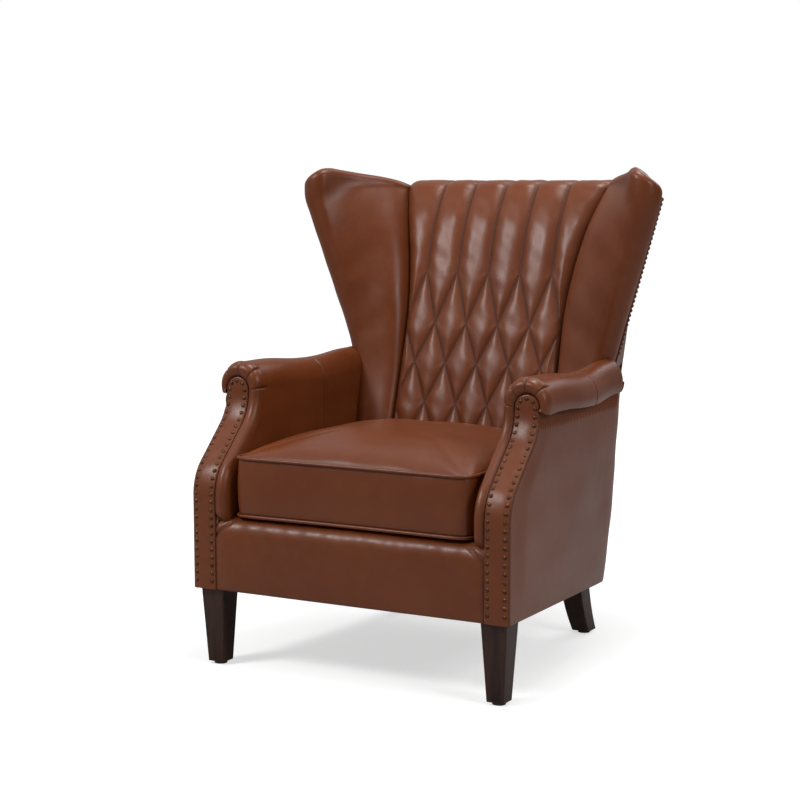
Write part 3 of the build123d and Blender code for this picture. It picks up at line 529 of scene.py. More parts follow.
class Upholsterer:
    """Turns sheets of points into pieces of the chair."""

    def __init__(self, wardrobe: Wardrobe) -> None:
        """Keeps the finishes to dress with."""
        self.wardrobe = wardrobe

    def piece(self, name: str, sheets: Sequence[Sheet], slot: Slot = Slot.LEATHER, body: Body = Body.CHAIR,
              heart: Place = (0.0, 0.0, 400.0), thickness: float = 0.0) -> bpy.types.Object:
        """Makes one smooth piece, its faces turned away from its heart.

        Args:
            name: The piece's name.
            sheets: The grids it is made of, welded where they meet.
            slot: Its finish.
            body: The body it rides on.
            heart: A point behind its faces, in millimetres.
            thickness: Depth given to it behind its face, in millimetres.

        Returns:
            The piece.
        """
        vertices = np.concatenate([sheet.points.reshape(-1, 3) for sheet in sheets])
        faces: list[tuple[int, int, int, int]] = []
        start = 0
        for sheet in sheets:
            faces += sheet.faces(start)
            start += sheet.points.shape[0] * sheet.points.shape[1]
        marks = np.concatenate([sheet.marks() for sheet in sheets])
        return self.mesh_piece(name, vertices, faces, marks, slot, body, heart, thickness)

    def mesh_piece(self, name: str, vertices: Array, faces: Sequence[Sequence[int]], marks: Array, slot: Slot,
                   body: Body, heart: Place, thickness: float = 0.0) -> bpy.types.Object:
        """Makes one piece from plain points and faces; the arguments are those of piece()."""
        mesh = bpy.data.meshes.new(name)
        mesh.from_pydata((vertices * MM).tolist(), [], [list(face) for face in faces])
        # The mark of seam lines and painted shade, which the leather reads to darken itself.
        attribute = mesh.attributes.new(SEAM_AND_SHADE, "FLOAT", "POINT")
        attribute.data.foreach_set("value", np.clip(marks, 0.0, 1.0).astype(np.float32))
        shape = bmesh.new()
        shape.from_mesh(mesh)
        bmesh.ops.remove_doubles(shape, verts=shape.verts, dist=WELD * MM)
        bmesh.ops.recalc_face_normals(shape, faces=shape.faces)
        centre = Vector(heart) * MM
        facing = sum(
            (face.calc_center_median() - centre).dot(face.normal) * face.calc_area() for face in shape.faces)
        if facing < 0.0:
            bmesh.ops.reverse_faces(shape, faces=shape.faces)
        shape.to_mesh(mesh)
        shape.free()
        mesh.shade_smooth()
        piece = bpy.data.objects.new(name, mesh)
        bpy.context.scene.collection.objects.link(piece)
        if thickness > 0.0:
            shell = piece.modifiers.new("thickness", "SOLIDIFY")
            shell.thickness = thickness * MM
            shell.offset = -1.0
        self.wardrobe.dress(piece, slot)
        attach(piece, body.value)
        LOG.info("%s: %d points", name, len(mesh.vertices))
        return piece

    def tube(self, name: str, loop: Array, radius: float, body: Body) -> bpy.types.Object:
        """A closed piped edge along a loop of points.

        Args:
            name: The piece's name.
            loop: Points of its middle line, in millimetres.
            radius: Its radius.
            body: The body it rides on.

        Returns:
            The piece.
        """
        ahead = np.roll(loop, -1, axis=0) - np.roll(loop, 1, axis=0)
        ahead /= np.linalg.norm(ahead, axis=1, keepdims=True)
        up = np.array([0.0, 0.0, 1.0])
        across = np.cross(ahead, up)
        across /= np.linalg.norm(across, axis=1, keepdims=True)
        lift = np.cross(across, ahead)
        angles = np.linspace(0.0, 2.0 * math.pi, PIPING_SIDES, endpoint=False)
        rings = (loop[:, None] + radius * (
            np.cos(angles)[None, :, None] * across[:, None] + np.sin(angles)[None, :, None] * lift[:, None]))
        closed = np.concatenate([rings, rings[:1]], axis=0)
        closed = np.concatenate([closed, closed[:, :1]], axis=1)
        # Painted shade: the piping's inner half, against the cushion, is darkened.
        shade = np.repeat(np.maximum(0.0, -np.cos(angles))[None], len(closed), axis=0)
        seam_and_shade = np.concatenate([shade, shade[:, :1]], axis=1) * 0.4
        return self.piece(name, [Sheet(closed, seam_and_shade)], Slot.LEATHER, body, tuple(loop.mean(axis=0)))


@dataclass(frozen=True)
class ChairLines:
    """Lines that the pieces share, in millimetres, as the solid frame has them."""

    front_y: float = -397.0
    rear_y: float = 400.0
    top_z: float = 1003.0
    half_width: float = 425.5
    front_clearance: float = 160.0
    rear_clearance: float = 130.0
    deck_z: float = 306.7
    facing_in: float = 303.0
    facing_out: float = 355.0
    facing_straight: float = 190.0
    scroll_radius: float = 95.0
    scroll_angle: float = math.radians(45.0)
    scroll_run: float = 96.0
    arm_rear_y: float = 165.0
    back_lean: float = math.radians(16.0)
    back_point: tuple[float, float] = (115.0, 470.0)
    bend_z: float = 841.0
    curl_angle: float = math.radians(22.0)
    curl_radius: float = 350.0
    crest_radius: float = 40.0
    crest_rear_round: float = 22.0
    panel_low: float = 189.0
    panel_high: float = 250.0
    flare_z: float = 640.0
    crest_z: float = 976.0
    outside_low_y: float = 238.0
    outside_low_half: float = 250.0
    outside_high_half: float = 290.0
    facing_head: float = 553.2
    skin: float = 3.0

    def base_z(self, y: Array) -> Array:
        """Height of the sloping underside."""
        share = (y - self.front_y) / (self.outside_low_y - self.front_y)
        return self.front_clearance + (self.rear_clearance - self.front_clearance) * share

    def back_y(self, z: Array) -> Array:
        """Inside face of the back on its straight part."""
        return self.back_point[0] + (z - self.back_point[1]) * math.tan(self.back_lean)

    def curl_y(self, z: Array) -> Array:
        """Inside face of the back at any height."""
        centre_y = self.back_y(self.bend_z) + self.curl_radius * math.cos(self.back_lean)
        centre_z = self.bend_z - self.curl_radius * math.sin(self.back_lean)
        above = np.maximum(z, self.bend_z) - centre_z
        curl = centre_y - np.sqrt(self.curl_radius ** 2 - above ** 2)
        return np.where(z <= self.bend_z, self.back_y(z), curl)

    def panel_half(self, z: Array) -> Array:
        """Half width of the quilted panel."""
        rise = self.crest_z - self.flare_z
        spread = self.panel_high - self.panel_low
        radius = (rise * rise + spread * spread) / (2.0 * spread)
        above = np.clip(z - self.flare_z, 0.0, rise)
        return self.panel_low + radius - np.sqrt(radius * radius - above * above)

    def rise_share(self, z: Array) -> Array:
        """How far a height is up the outside back."""
        return (z - self.rear_clearance) / (self.crest_z - self.rear_clearance)

    def outside_y(self, z: Array) -> Array:
        """Outer face of the outside back."""
        return self.outside_low_y + (self.rear_y - self.outside_low_y) * self.rise_share(z)

    def outside_half(self, z: Array) -> Array:
        """Half width of the outside back."""
        return self.outside_low_half + (self.outside_high_half - self.outside_low_half) * self.rise_share(z)

    def scroll(self) -> Array:
        """Rows of distance, y, z and lean along the scroll of the arm front."""
        bend = self.scroll_radius * self.scroll_angle
        length = self.facing_straight + 2.0 * bend + self.scroll_run
        distance = np.linspace(0.0, length, 900)
        first = np.clip((distance - self.facing_straight) / self.scroll_radius, 0.0, self.scroll_angle)
        second = np.clip((distance - length + bend) / self.scroll_radius, 0.0, self.scroll_angle)
        lean = first - second
        step = np.diff(distance)
        middle = (lean[1:] + lean[:-1]) / 2.0
        y = self.front_y + running(np.sin(middle) * step)
        z = self.front_clearance + running(np.cos(middle) * step)
        return np.stack([distance, y, z, lean], axis=1)

    def back_profile(self, start_z: float, step: float) -> Array:
        """Rows of distance, y, z and angle up the back, over the crest and down behind it."""
        foot = np.array([float(self.back_y(start_z)), start_z])
        straight = (self.bend_z - start_z) / math.cos(self.back_lean)
        lean_end = self.back_lean + self.curl_angle
        runs = [(straight, self.back_lean, self.back_lean),
                (self.curl_radius * self.curl_angle, self.back_lean, lean_end),
                (self.crest_radius * (math.pi / 2 - lean_end), lean_end, math.pi / 2)]
        reach = foot[0] + sum(
            np.mean(np.sin(np.linspace(a, b, 200))) * length for length, a, b in runs)
        runs += [(self.rear_y - self.crest_rear_round - reach, math.pi / 2, math.pi / 2),
                 (self.crest_rear_round * math.pi / 2, math.pi / 2, math.pi),
                 (self.crest_rear_round, math.pi, math.pi)]
        counts = [max(2, int(length / step)) for length, _, _ in runs]
        angle = np.concatenate([
            np.linspace(a, b, count, endpoint=False) for (_, a, b), count in zip(runs, counts)])
        pace = np.concatenate([
            np.full(count, length / count) for (length, _, _), count in zip(runs, counts)])
        y = foot[0] + running((np.sin(angle) * pace)[:-1])
        z = foot[1] + running((np.cos(angle) * pace)[:-1])
        return np.stack([running(pace[:-1]), y, z, angle], axis=1)


LINES = ChairLines()


@dataclass
class QuiltedBack:
    """The inside back: upright channels above and diamonds below, over a rolled crest."""

    start_z: float = 380.0
    row_step: float = 2.3
    columns: int = 241
    pitch: float = 76.0
    channels: int = 5
    first_row_z: float = 777.0
    second_row_z: float = 667.0
    row: float = 85.0
    rows: int = 3
    channel_depth: float = 10.0
    diamond_depth: float = 8.0
    edge_depth: float = 16.0
    edge_reach: float = 30.0
    seam_reach: float = 30.0
    seam_blend: float = 4.5
    behind_share: float = 0.75
    behind_edge_share: float = 0.7
    wrinkle: float = 0.8
    wrinkle_length: float = 70.0
    tuck: tuple[float, ...] = (6.0, 16.0, 30.0)

    def seams(self, end: float) -> list[tuple[float, float, float, float]]:
        """Sewn lines as x and distance up the back of both their ends."""
        cosine = math.cos(LINES.back_lean)
        up = [(z - self.start_z) / cosine for z in (self.first_row_z, self.second_row_z)]
        up += [up[1] - self.row / cosine * index for index in range(1, self.rows + 2)]
        reach = self.channels // 2
        half = self.pitch / 2.0
        lines = [(self.pitch * k, up[0], self.pitch * k, end) for k in range(-reach, reach + 1)]
        for level in range(len(up) - 1):
            shift = half * (level % 2)
            for k in range(-reach - 1, reach + 2):
                x = self.pitch * k + shift
                if level == 0 and abs(k) > reach:
                    continue
                lines += [(x, up[level], x + side * half, up[level + 1]) for side in (-1.0, 1.0)]
        return lines

    def sheet(self) -> Sheet:
        """The padded face with its seams drawn in, and painted shade along its seams, edges and tucked sides.
        """
        profile = LINES.back_profile(self.start_z, self.row_step)
        distance, y, z, angle = (profile[:, index][:, None] for index in range(4))
        half = LINES.panel_half(np.maximum.accumulate(z, axis=0))
        x = half * np.linspace(-1.0, 1.0, self.columns)[None, :]
        along = np.broadcast_to(distance, x.shape)
        seam = np.full(x.shape, 1e6)
        nearness = np.zeros(x.shape)
        for x0, s0, x1, s1 in self.seams(float(distance[-1, 0])):
            run = np.array([x1 - x0, s1 - s0])
            share = ((x - x0) * run[0] + (along - s0) * run[1]) / run.dot(run)
            share = np.clip(share, 0.0, 1.0)
            gap = np.hypot(x - x0 - share * run[0], along - s0 - share * run[1])
            seam = np.minimum(seam, gap)
            nearness += np.exp(-gap / self.seam_blend)
        rounded = np.maximum(0.0, -self.seam_blend * np.log(np.maximum(nearness, 1e-12)))
        rounded = seam + (rounded - seam) * smooth(seam / (3.0 * self.seam_blend))
        first = (self.first_row_z - self.start_z) / math.cos(LINES.back_lean)
        above = smooth((along - first + 20.0) / 60.0)
        depth = self.diamond_depth + (self.channel_depth - self.diamond_depth) * above
        behind = smooth((angle - math.pi / 2) / (math.pi / 2))
        depth = depth * (1.0 - self.behind_share * behind)
        edge = half - np.abs(x)
        edge_depth = self.edge_depth * (1.0 - self.behind_edge_share * behind)
        height = np.minimum(depth * (puff(rounded, self.seam_reach) - 1.0),
                            edge_depth * (puff(edge, self.edge_reach) - 1.0))
        out = np.concatenate([np.zeros_like(angle), -np.cos(angle), np.sin(angle)], axis=1)
        base = np.stack([x, np.broadcast_to(y, x.shape), np.broadcast_to(z, x.shape)], axis=2)
        height = height + self.wrinkle * waves(base, self.wrinkle_length, 0.4) * puff(seam, 20.0)
        face = base + height[..., None] * out[:, None, :]
        # Painted shade: a dark line on each seam with a softer band of shade around it, and shade along the
        # panel's side edges.
        seam_and_shade = bell(seam, 2.4) * 0.9 + 0.25 * bell(seam, 9.0)
        seam_and_shade = np.maximum(seam_and_shade, bell(edge, 6.0))
        sides = []
        for column in (0, -1):
            strips = [face[:, column] - depth_in * out for depth_in in self.tuck]
            sides.append(np.stack(strips, axis=1))
        points = np.concatenate([sides[0][:, ::-1], face, sides[1]], axis=1)
        # The tucked side strips are painted fully dark as shade in the crevice.
        dark = np.ones((len(points), len(self.tuck)))
        return Sheet(points, np.concatenate([dark, seam_and_shade, dark], axis=1))

    def build(self, shop: Upholsterer) -> None:
        """Makes the quilted back."""
        piece = shop.piece("quilted_back", [self.sheet()], heart=(0.0, 600.0, 500.0))
        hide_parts("back_cover", "back_foam")


@dataclass
class Wing:
    """One wing with its rolled front edge, its outside panel and a top that falls to the back."""

    side: Side
    tip_radius: float = 33.0
    low_z: float = 596.0
    low_tip: tuple[float, float] = (277.0, 177.0)
    wide_z: float = 937.0
    wide_tip: tuple[float, float] = (390.2, 146.0)
    bulge_across: float = 24.0
    bulge_forward: float = 20.0
    pillow: float = 16.0
    valley: float = 7.0
    ear_radius: float = 62.0
    top_fall: float = 29.0
    shoulder_fall: float = 56.0
    shoulder_run: float = 110.0
    seam_drop: float = 12.0
    foot_z: float = 380.0
    foot_draw: float = 0.16
    foot_tuck: tuple[float, float] = (26.0, 14.0)
    low_ease: float = 80.0
    wide_ease: float = 16.0
    top_round: float = 15.0
    crown: float = 5.0
    half_columns: int = 64
    levels: int = 120
    roll_columns: int = 24
    hidden_columns: int = 8
    cap_columns: int = 14
    rim_rows: int = 10
    tuck_run: float = 60.0
    panel_lift: float = 3.2
    panel_from: float = 0.26
    wrinkle: float = 1.6
    wrinkle_length: float = 150.0

    def eased(self, beyond: float, ease: float) -> float:
        """A run that starts at zero and eases in over a stretch on both sides of it."""
        if beyond <= -ease:
            return 0.0
        return beyond if beyond >= ease else (beyond + ease) ** 2 / (4.0 * ease)

    def tip(self, z: float) -> Array:
        """Middle of the rolled edge in plan: a column below, leaning out above, upright at the ear."""
        low, wide = np.array(self.low_tip), np.array(self.wide_tip)
        column = np.array([self.foot_draw, math.tan(LINES.back_lean)])
        flare = (wide - low) / (self.wide_z - self.low_z)
        above = self.eased(z - self.low_z, self.low_ease)
        past = self.eased(z - self.wide_z, self.wide_ease)
        return low + column * (z - self.low_z) + (flare - column) * above - flare * past

    def touch(self, point: Array, centre: Array, side: float) -> float:
        """Angle on the rolled edge where a line from the point touches it."""
        away = point - centre
        return math.atan2(away[1], away[0]) + side * math.acos(self.tip_radius / float(np.hypot(*away)))

    def section(self, z: float) -> Array:
        """Plan of the wing at one height, from behind the quilted panel round the edge to the back corner."""
        share = float(smooth(np.array((z - self.low_z + self.low_ease) / (LINES.bend_z - self.low_z))))
        seam = np.array([float(LINES.panel_half(z)) + 0.5,
                         float(LINES.curl_y(min(z, LINES.crest_z - self.seam_drop)))])
        bulge = seam + np.array([self.bulge_across, -self.bulge_forward * share])
        centre = self.tip(z)
        tuck = float(smooth(np.array((self.low_z - z) / self.tuck_run)))
        rear = np.array([float(LINES.outside_half(z)) - LINES.skin - self.foot_tuck[0] * tuck,
                         float(LINES.outside_y(z)) - 2.0 * LINES.skin - self.foot_tuck[1] * tuck])
        front_angle = self.touch(bulge, centre, 1.0)
        side_angle = self.touch(rear, centre, -1.0)
        side_angle = front_angle + (side_angle - front_angle) % (2.0 * math.pi)
        middle = (front_angle + side_angle) / 2.0

        def arc(start: float, end: float, count: int) -> Array:
            angles = np.linspace(start, end, count)
            return centre + self.tip_radius * np.stack([np.cos(angles), np.sin(angles)], axis=1)

        front_touch = arc(front_angle, front_angle, 1)[0]
        hidden = np.array([seam[0], rear[1] - 1.0])
        crevice = seam + np.array([0.5, 26.0])
        shoulder = (seam[0] + 1.0, bulge[1] - 10.0 - self.pillow * share)
        valley = bulge + 0.34 * (front_touch - bulge) + np.array([0.0, self.valley * share])
        face = bezier([crevice, shoulder, valley, front_touch], 60)
        inner = np.concatenate([
            resample(np.stack([hidden, crevice]), self.hidden_columns)[:-1],
            resample(np.concatenate([face[:-1], arc(front_angle, middle, self.roll_columns)]),
                     self.half_columns - self.hidden_columns + 1)])
        side_touch = arc(side_angle, side_angle, 1)[0]
        run = np.linspace(0.0, 1.0, self.half_columns - self.roll_columns + 1)[1:, None]
        outer = [arc(middle, side_angle, self.roll_columns)[1:], side_touch + (rear - side_touch) * run]
        return np.concatenate([inner, *outer])

    def top(self, x: Array, y: Array) -> Array:
        """Height of the wing's top over a place in plan."""
        end = float(LINES.curl_y(LINES.crest_z - self.seam_drop))
        slope = self.top_fall / (end - self.wide_tip[1])
        fall = LINES.top_z - slope * np.maximum(0.0, y - self.wide_tip[1])
        ear_x = np.clip(x - (LINES.half_width - self.ear_radius), 0.0, self.ear_radius)
        ear = LINES.top_z - self.ear_radius + np.sqrt(self.ear_radius ** 2 - ear_x ** 2)
        return np.minimum(fall, ear)

    def sheets(self) -> tuple[Sheet, Sheet, Sheet]:
        """The wall of the wing with its rounded rim, the cap over it and the side that faces the back."""
        heights = np.linspace(self.foot_z, LINES.top_z, self.levels)
        table = np.stack([self.section(float(z)) for z in heights])
        high = table[-8]
        columns = table.shape[1]
        tops = self.top(high[:, 0], high[:, 1])
        peak = int(np.argmax(tops))
        past = travelled(high[peak:])
        tops[peak:] = tops[peak] - self.shoulder_fall * (1.0 - bell(past, self.shoulder_run))
        straight = np.linspace(0.0, 1.0, self.levels)
        wall = np.empty((self.levels, columns, 3))
        for column in range(columns):
            z = self.foot_z + (tops[column] - self.top_round - self.foot_z) * straight
            for axis in range(2):
                wall[:, column, axis] = np.interp(z, heights, table[:, column, axis])
            wall[:, column, 2] = z
        ahead = np.gradient(wall[-1, :, :2], axis=0)
        ahead /= np.linalg.norm(ahead, axis=1, keepdims=True)
        inward = np.stack([-ahead[:, 1], ahead[:, 0]], axis=1)
        rim = []
        for turn in np.linspace(0.0, math.pi / 2, self.rim_rows)[1:]:
            ring = wall[-1].copy()
            ring[:, :2] += inward * self.top_round * (1.0 - math.cos(turn))
            ring[:, 2] += self.top_round * math.sin(turn)
            rim.append(ring)
        points = np.concatenate([wall, np.stack(rim)])
        edge = points[-1]
        middle = self.half_columns - 1
        pairs = min(middle, columns - 1 - middle) + 1
        left = edge[middle - np.arange(pairs)]
        right = edge[np.minimum(middle + np.arange(pairs), columns - 1)]
        across = np.linspace(0.0, 1.0, self.cap_columns)[None, :, None]
        cap = left[:, None] * (1.0 - across) + right[:, None] * across
        width = np.linalg.norm(right - left, axis=1)[:, None]
        cap[..., 2] += self.crown * np.sin(math.pi * across[..., 0]) * np.clip(width / 60.0, 0.0, 1.0)
        near = np.arange(columns)[None, :]
        soft = np.clip((points[..., 2] - 560.0) / 80.0, 0.0, 1.0) * np.clip((near - 16) / 14.0, 0.0, 1.0)
        soft = soft * np.clip((middle + 14 - near) / 14.0, 0.0, 1.0)
        wrinkle = self.wrinkle * waves(points, self.wrinkle_length, 1.7) * soft
        face = points - normals(points) * wrinkle[..., None]
        face[-1] = points[-1]
        # Painted shade: the columns hidden behind the quilted panel are fully dark, fading out just past the
        # crevice.
        past = near - self.hidden_columns
        seam_and_shade = np.where(past < 0, 1.0, bell(past, 3.0))
        seam_and_shade = np.broadcast_to(seam_and_shade, points.shape[:2]).copy()
        share = across[0][None]
        rear = face[:, :1] * (1.0 - share) + face[:, -1:] * share
        rear[-1] = cap[-1]
        return Sheet(face, seam_and_shade), Sheet(cap), Sheet(rear)

    def panel(self, wall: Sheet) -> Sheet:
        """The outside panel, just proud of the wing and ending behind its rolled edge."""
        rows = slice(int(self.levels * self.panel_from), self.levels - 1)
        columns = slice(self.half_columns + self.roll_columns - 1, None)
        patch = wall.points[rows, columns]
        return Sheet(patch + outward_normals(patch) * self.panel_lift)

    def build(self, shop: Upholsterer) -> None:
        """Makes the wing and its outside panel."""
        wall, cap, rear = self.sheets()
        word = self.side.word
        sign = float(self.side.value)
        wing = shop.piece(
            f"wing_{word}", [sheet.mirrored(self.side) for sheet in (wall, cap, rear)],
            heart=(sign * 300.0, 240.0, 700.0))
        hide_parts(f"wing_cover_{word}", f"wing_foam_{word}")
        panel = shop.piece(
            f"outside_wing_skin_{word}", [self.panel(wall).mirrored(self.side)],
            heart=(sign * 240.0, 240.0, 700.0), thickness=3.0)
        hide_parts(f"outside_wing_{word}")


@dataclass
class Arm:
    """One padded arm: inside face, roll, pleated front, facing and outside panel."""

    side: Side
    inner_x: float = 276.0
    roll_radius: float = 48.0
    roll_z: float = 562.0
    foot_z: float = 276.0
    foot_sink: float = 22.0
    end_round: float = 20.0
    dip: float = 11.0
    rear_draw: float = 27.0
    seam_y: float = -21.0
    roll_end: float = -0.42
    under_reach: float = 11.0
    pleats: tuple[float, ...] = (-5.0, 38.0, 77.0, 117.0)
    pleat_depth: float = 3.2
    pleat_width: float = 2.4
    band_rise: float = 2.5
    facing_sink: float = 5.0
    facing_dome: float = 1.6
    side_taper: float = 66.0
    top_taper: float = 25.0
    side_rear_y: float = 181.0
    strip_low_z: float = 80.0
    panel_swell: float = 5.0
    gather_pitch: float = 8.4
    gather_depth: float = 3.0
    fine_run: float = 24.0
    under_points: int = 14
    band_rows: int = 26
    seam_half: float = 14.0
    seam_depth: float = 1.5
    wrinkle: float = 1.3
    wrinkle_length: float = 130.0
    outside_columns: int = 420

    @property
    def roll_x(self) -> float:
        """Middle of the roll."""
        return self.inner_x + self.roll_radius

    def section(self) -> tuple[Array, Array, Array]:
        """Section of the pad from the seat over the roll and in under it.

        Returns:
            The points, their outward normals, and the length of each point round the roll.
        """
        fine_z = self.roll_z - self.fine_run
        low = np.concatenate([np.linspace(self.foot_z, fine_z, 60, endpoint=False),
                              np.linspace(fine_z, self.roll_z, 22, endpoint=False)])
        angles = np.linspace(math.pi, self.roll_end, 150)
        face = np.stack([np.full_like(low, self.inner_x), low], axis=1)
        round_out = np.stack([np.cos(angles), np.sin(angles)], axis=1)
        roll = np.array([self.roll_x, self.roll_z]) + self.roll_radius * round_out
        count = self.under_points
        under = roll[-1] + np.linspace(0.0, 1.0, count + 1)[1:, None] * np.array([-self.under_reach, 0.0])
        out = np.concatenate([
            np.tile([-1.0, 0.0], (len(low), 1)), round_out, np.tile([0.0, -1.0], (count, 1))])
        place = np.concatenate([
            low - self.roll_z, self.roll_radius * (math.pi - angles), np.full(count, self.round_length)])
        return np.concatenate([face, roll, under]), out, place

    @property
    def round_length(self) -> float:
        """Length of the section round the roll."""
        return self.roll_radius * (math.pi - self.roll_end)

    def front_band(self, corner: Array, outward: Array, ahead: Array, place: Array,
                   ridge: Array) -> tuple[list[Array], list[Array]]:
        """Rows of the round band between the facing and the arm's own faces.

        Args:
            corner: Where the section meets the front, unrounded.
            outward: Normals of the section.
            ahead: Forward directions of the scroll.
            place: Length of each point round the roll.
            ridge: Height of the pleats, in shares of their depth.

        Returns:
            The rows and how dark each point is painted, for seam lines and painted shade.
        """
        half = (LINES.facing_out - LINES.facing_in) / 2.0
        turn = math.pi * (1.0 - np.clip(place / self.round_length, 0.0, 1.0))
        arch = np.where(place >= 0.0, half * np.sin(turn), np.minimum(0.0, corner[:, 2] - LINES.facing_head))
        target = np.stack(
            [LINES.facing_in + half + half * np.cos(turn), corner[:, 1], LINES.facing_head + arch], axis=1)
        # Painted shade in the pleats' creases.
        dark = bell(self.pleat_gap(place), 1.5)
        rows, seam_and_shade_rows = [], []
        for share in np.linspace(0.0, 1.0, self.band_rows):
            swing = math.pi * share
            across = (1.0 - math.cos(swing)) / 2.0
            sunk = self.facing_sink if share < 0.5 else self.end_round
            depth = -sunk + (sunk + self.band_rise) * math.sin(swing)
            pinch = self.pleat_depth * ridge * math.sin(swing / 2.0)
            lean = ahead * math.sin(swing) + outward * max(0.0, -math.cos(swing))
            rows.append(target + (corner - target) * across + ahead * depth + lean * pinch[:, None])
            # Painted shade: the pleats' creases, and the band darkening towards the facing where it sinks in.
            seam_and_shade_rows.append(dark * smooth(np.array(share / 0.12)) + (1.0 - across) ** 6)
        return rows, seam_and_shade_rows

    def narrowing(self, x: Array, y: Array) -> Array:
        """How far the roll's outer side draws in towards the wing."""
        return self.rear_draw * smooth((y + 130.0) / 270.0) * (x - self.inner_x) / (2.0 * self.roll_radius)

    def pleat_gap(self, place: Array) -> Array:
        """Distance of each point of the section to the nearest pleat."""
        return np.min(np.abs(place[:, None] - np.array(self.pleats)[None, :]), axis=1)

    def pad(self) -> Sheet:
        """The padded inside arm and roll with its front and rear ends turned in."""
        scroll = LINES.scroll()
        section, out, place = self.section()
        x, z = section[:, 0], section[:, 1]
        held_z = np.minimum(z, scroll[-1, 2])
        front = np.interp(held_z, scroll[:, 2], scroll[:, 1])
        lean = np.interp(held_z, scroll[:, 2], scroll[:, 3])
        corner = np.stack([x, front, z], axis=1)
        outward = np.stack([out[:, 0], np.zeros_like(x), out[:, 1]], axis=1)
        ahead = forward(lean)
        corner = corner - ahead * (self.foot_sink * smooth((320.0 - z) / 34.0))[:, None]
        gap = self.pleat_gap(place)
        ridge = 0.3 * smooth(gap / 18.0) * smooth((place + 12.0) / 12.0) - bell(gap, self.pleat_width)
        rows, seam_and_shade_rows = self.front_band(corner, outward, ahead, place, ridge)
        start = corner - self.end_round * ahead
        rear_y = LINES.arm_rear_y - self.end_round
        steps = np.concatenate([
            np.linspace(leg, leg + 1.0, count)[1:] for leg, count in ((0.0, 70), (1.0, 29), (2.0, 60))])
        near, far = self.seam_y - self.seam_half, self.seam_y + self.seam_half
        for step in steps:
            later = near + (far - near) * (step - 1.0) if step <= 2.0 else far + (rear_y - far) * (step - 2.0)
            y = np.where(step <= 1.0, start[:, 1] + (near - start[:, 1]) * step, later)
            z_row = start[:, 2] + (z - start[:, 2]) * min(1.0, step * 7.0)
            fade = np.exp(-np.maximum(0.0, y - start[:, 1]) / 7.0)
            body_share = np.clip((y - scroll[-1, 1]) / (rear_y - scroll[-1, 1]), 0.0, 1.0)
            lower = smooth((z - 470.0) / 110.0) * self.dip * np.sin(math.pi * body_share ** 1.4) ** 2
            seam = np.abs(y - self.seam_y)
            row = np.stack([x - self.narrowing(x, y), y, z_row - lower], axis=1)
            lift = self.pleat_depth * ridge * fade - self.seam_depth * bell(seam, 2.0)
            wrinkle = self.wrinkle * waves(row, self.wrinkle_length, 0.9)
            lift = lift + wrinkle * smooth((z - 320.0) / 40.0) * (1.0 - fade)
            rows.append(row + outward * lift[:, None])
            # A dark seam line, and painted shade in the pleats' creases near the front.
            seam_and_shade_rows.append(bell(seam, 1.5) + bell(gap, 1.5) * fade)
        back = np.array([0.0, 1.0, 0.0])
        inside = x - self.narrowing(x, np.full_like(x, rear_y))
        hub = np.stack([inside, np.full_like(x, rear_y), z], axis=1) - self.end_round * outward
        for turn in np.linspace(0.0, math.pi / 2, 8)[1:]:
            rows.append(hub + self.end_round * (math.cos(turn) * outward + math.sin(turn) * back))
            seam_and_shade_rows.append(np.zeros_like(x))
        last = rows[-1]
        heart_x = self.inner_x + 8.0 + 22.0 * smooth((z - 480.0) / 80.0)
        centre = np.stack([heart_x, last[:, 1], np.minimum(z, self.roll_z)], axis=1)
        for share in np.linspace(0.0, 1.0, 7)[1:]:
            rows.append(last + (centre - last) * share)
            seam_and_shade_rows.append(np.zeros_like(x))
        return Sheet(np.stack(rows), np.clip(np.stack(seam_and_shade_rows), 0.0, 1.0))

    def facing(self) -> Sheet:
        """The slim panel with a round head that the nails hold on the arm front."""
        scroll = LINES.scroll()
        length = scroll[-1, 0]
        radius = (LINES.facing_out - LINES.facing_in) / 2.0
        rise = np.concatenate([np.zeros(120), radius * np.sin(np.linspace(0.05, math.pi / 2 - 0.02, 18))])
        distance = np.concatenate([np.linspace(0.0, length, 120), np.full(18, length)])
        y, z, lean = (np.interp(distance, scroll[:, 0], scroll[:, index]) for index in (1, 2, 3))
        half = np.sqrt(radius ** 2 - rise ** 2)
        across = np.sin(np.linspace(-math.pi / 2, math.pi / 2, 31))
        reach = half[:, None] * across[None, :]
        edge = radius - np.sqrt(reach ** 2 + rise[:, None] ** 2)
        height = self.facing_dome * smooth(edge / 20.0) + 2.2 * (puff(edge, 4.0) - 1.0)
        ahead = forward(lean)
        base = np.stack(np.broadcast_arrays(
            LINES.facing_in + radius + reach, y[:, None], (z + rise)[:, None]), axis=2)
        height = height + 0.5 * waves(base, 60.0, 2.2) * smooth(edge / 8.0)
        face = base + height[..., None] * ahead[:, None, :]
        rims = [face[:, column] - depth * ahead for column in (0, -1) for depth in (2.0, 6.0)]
        points = np.concatenate(
            [np.stack([rims[1], rims[0]], axis=1), face, np.stack([rims[2], rims[3]], axis=1)], axis=1)
        points = np.concatenate([points, points[-1:] - 5.0 * ahead[-1]])
        # Painted shade along the facing's edges and turned-back rims, where they sink into the band.
        seam_and_shade = np.zeros(points.shape[:2])
        seam_and_shade[:, :3] = seam_and_shade[:, -3:] = 0.6
        return Sheet(points, seam_and_shade)

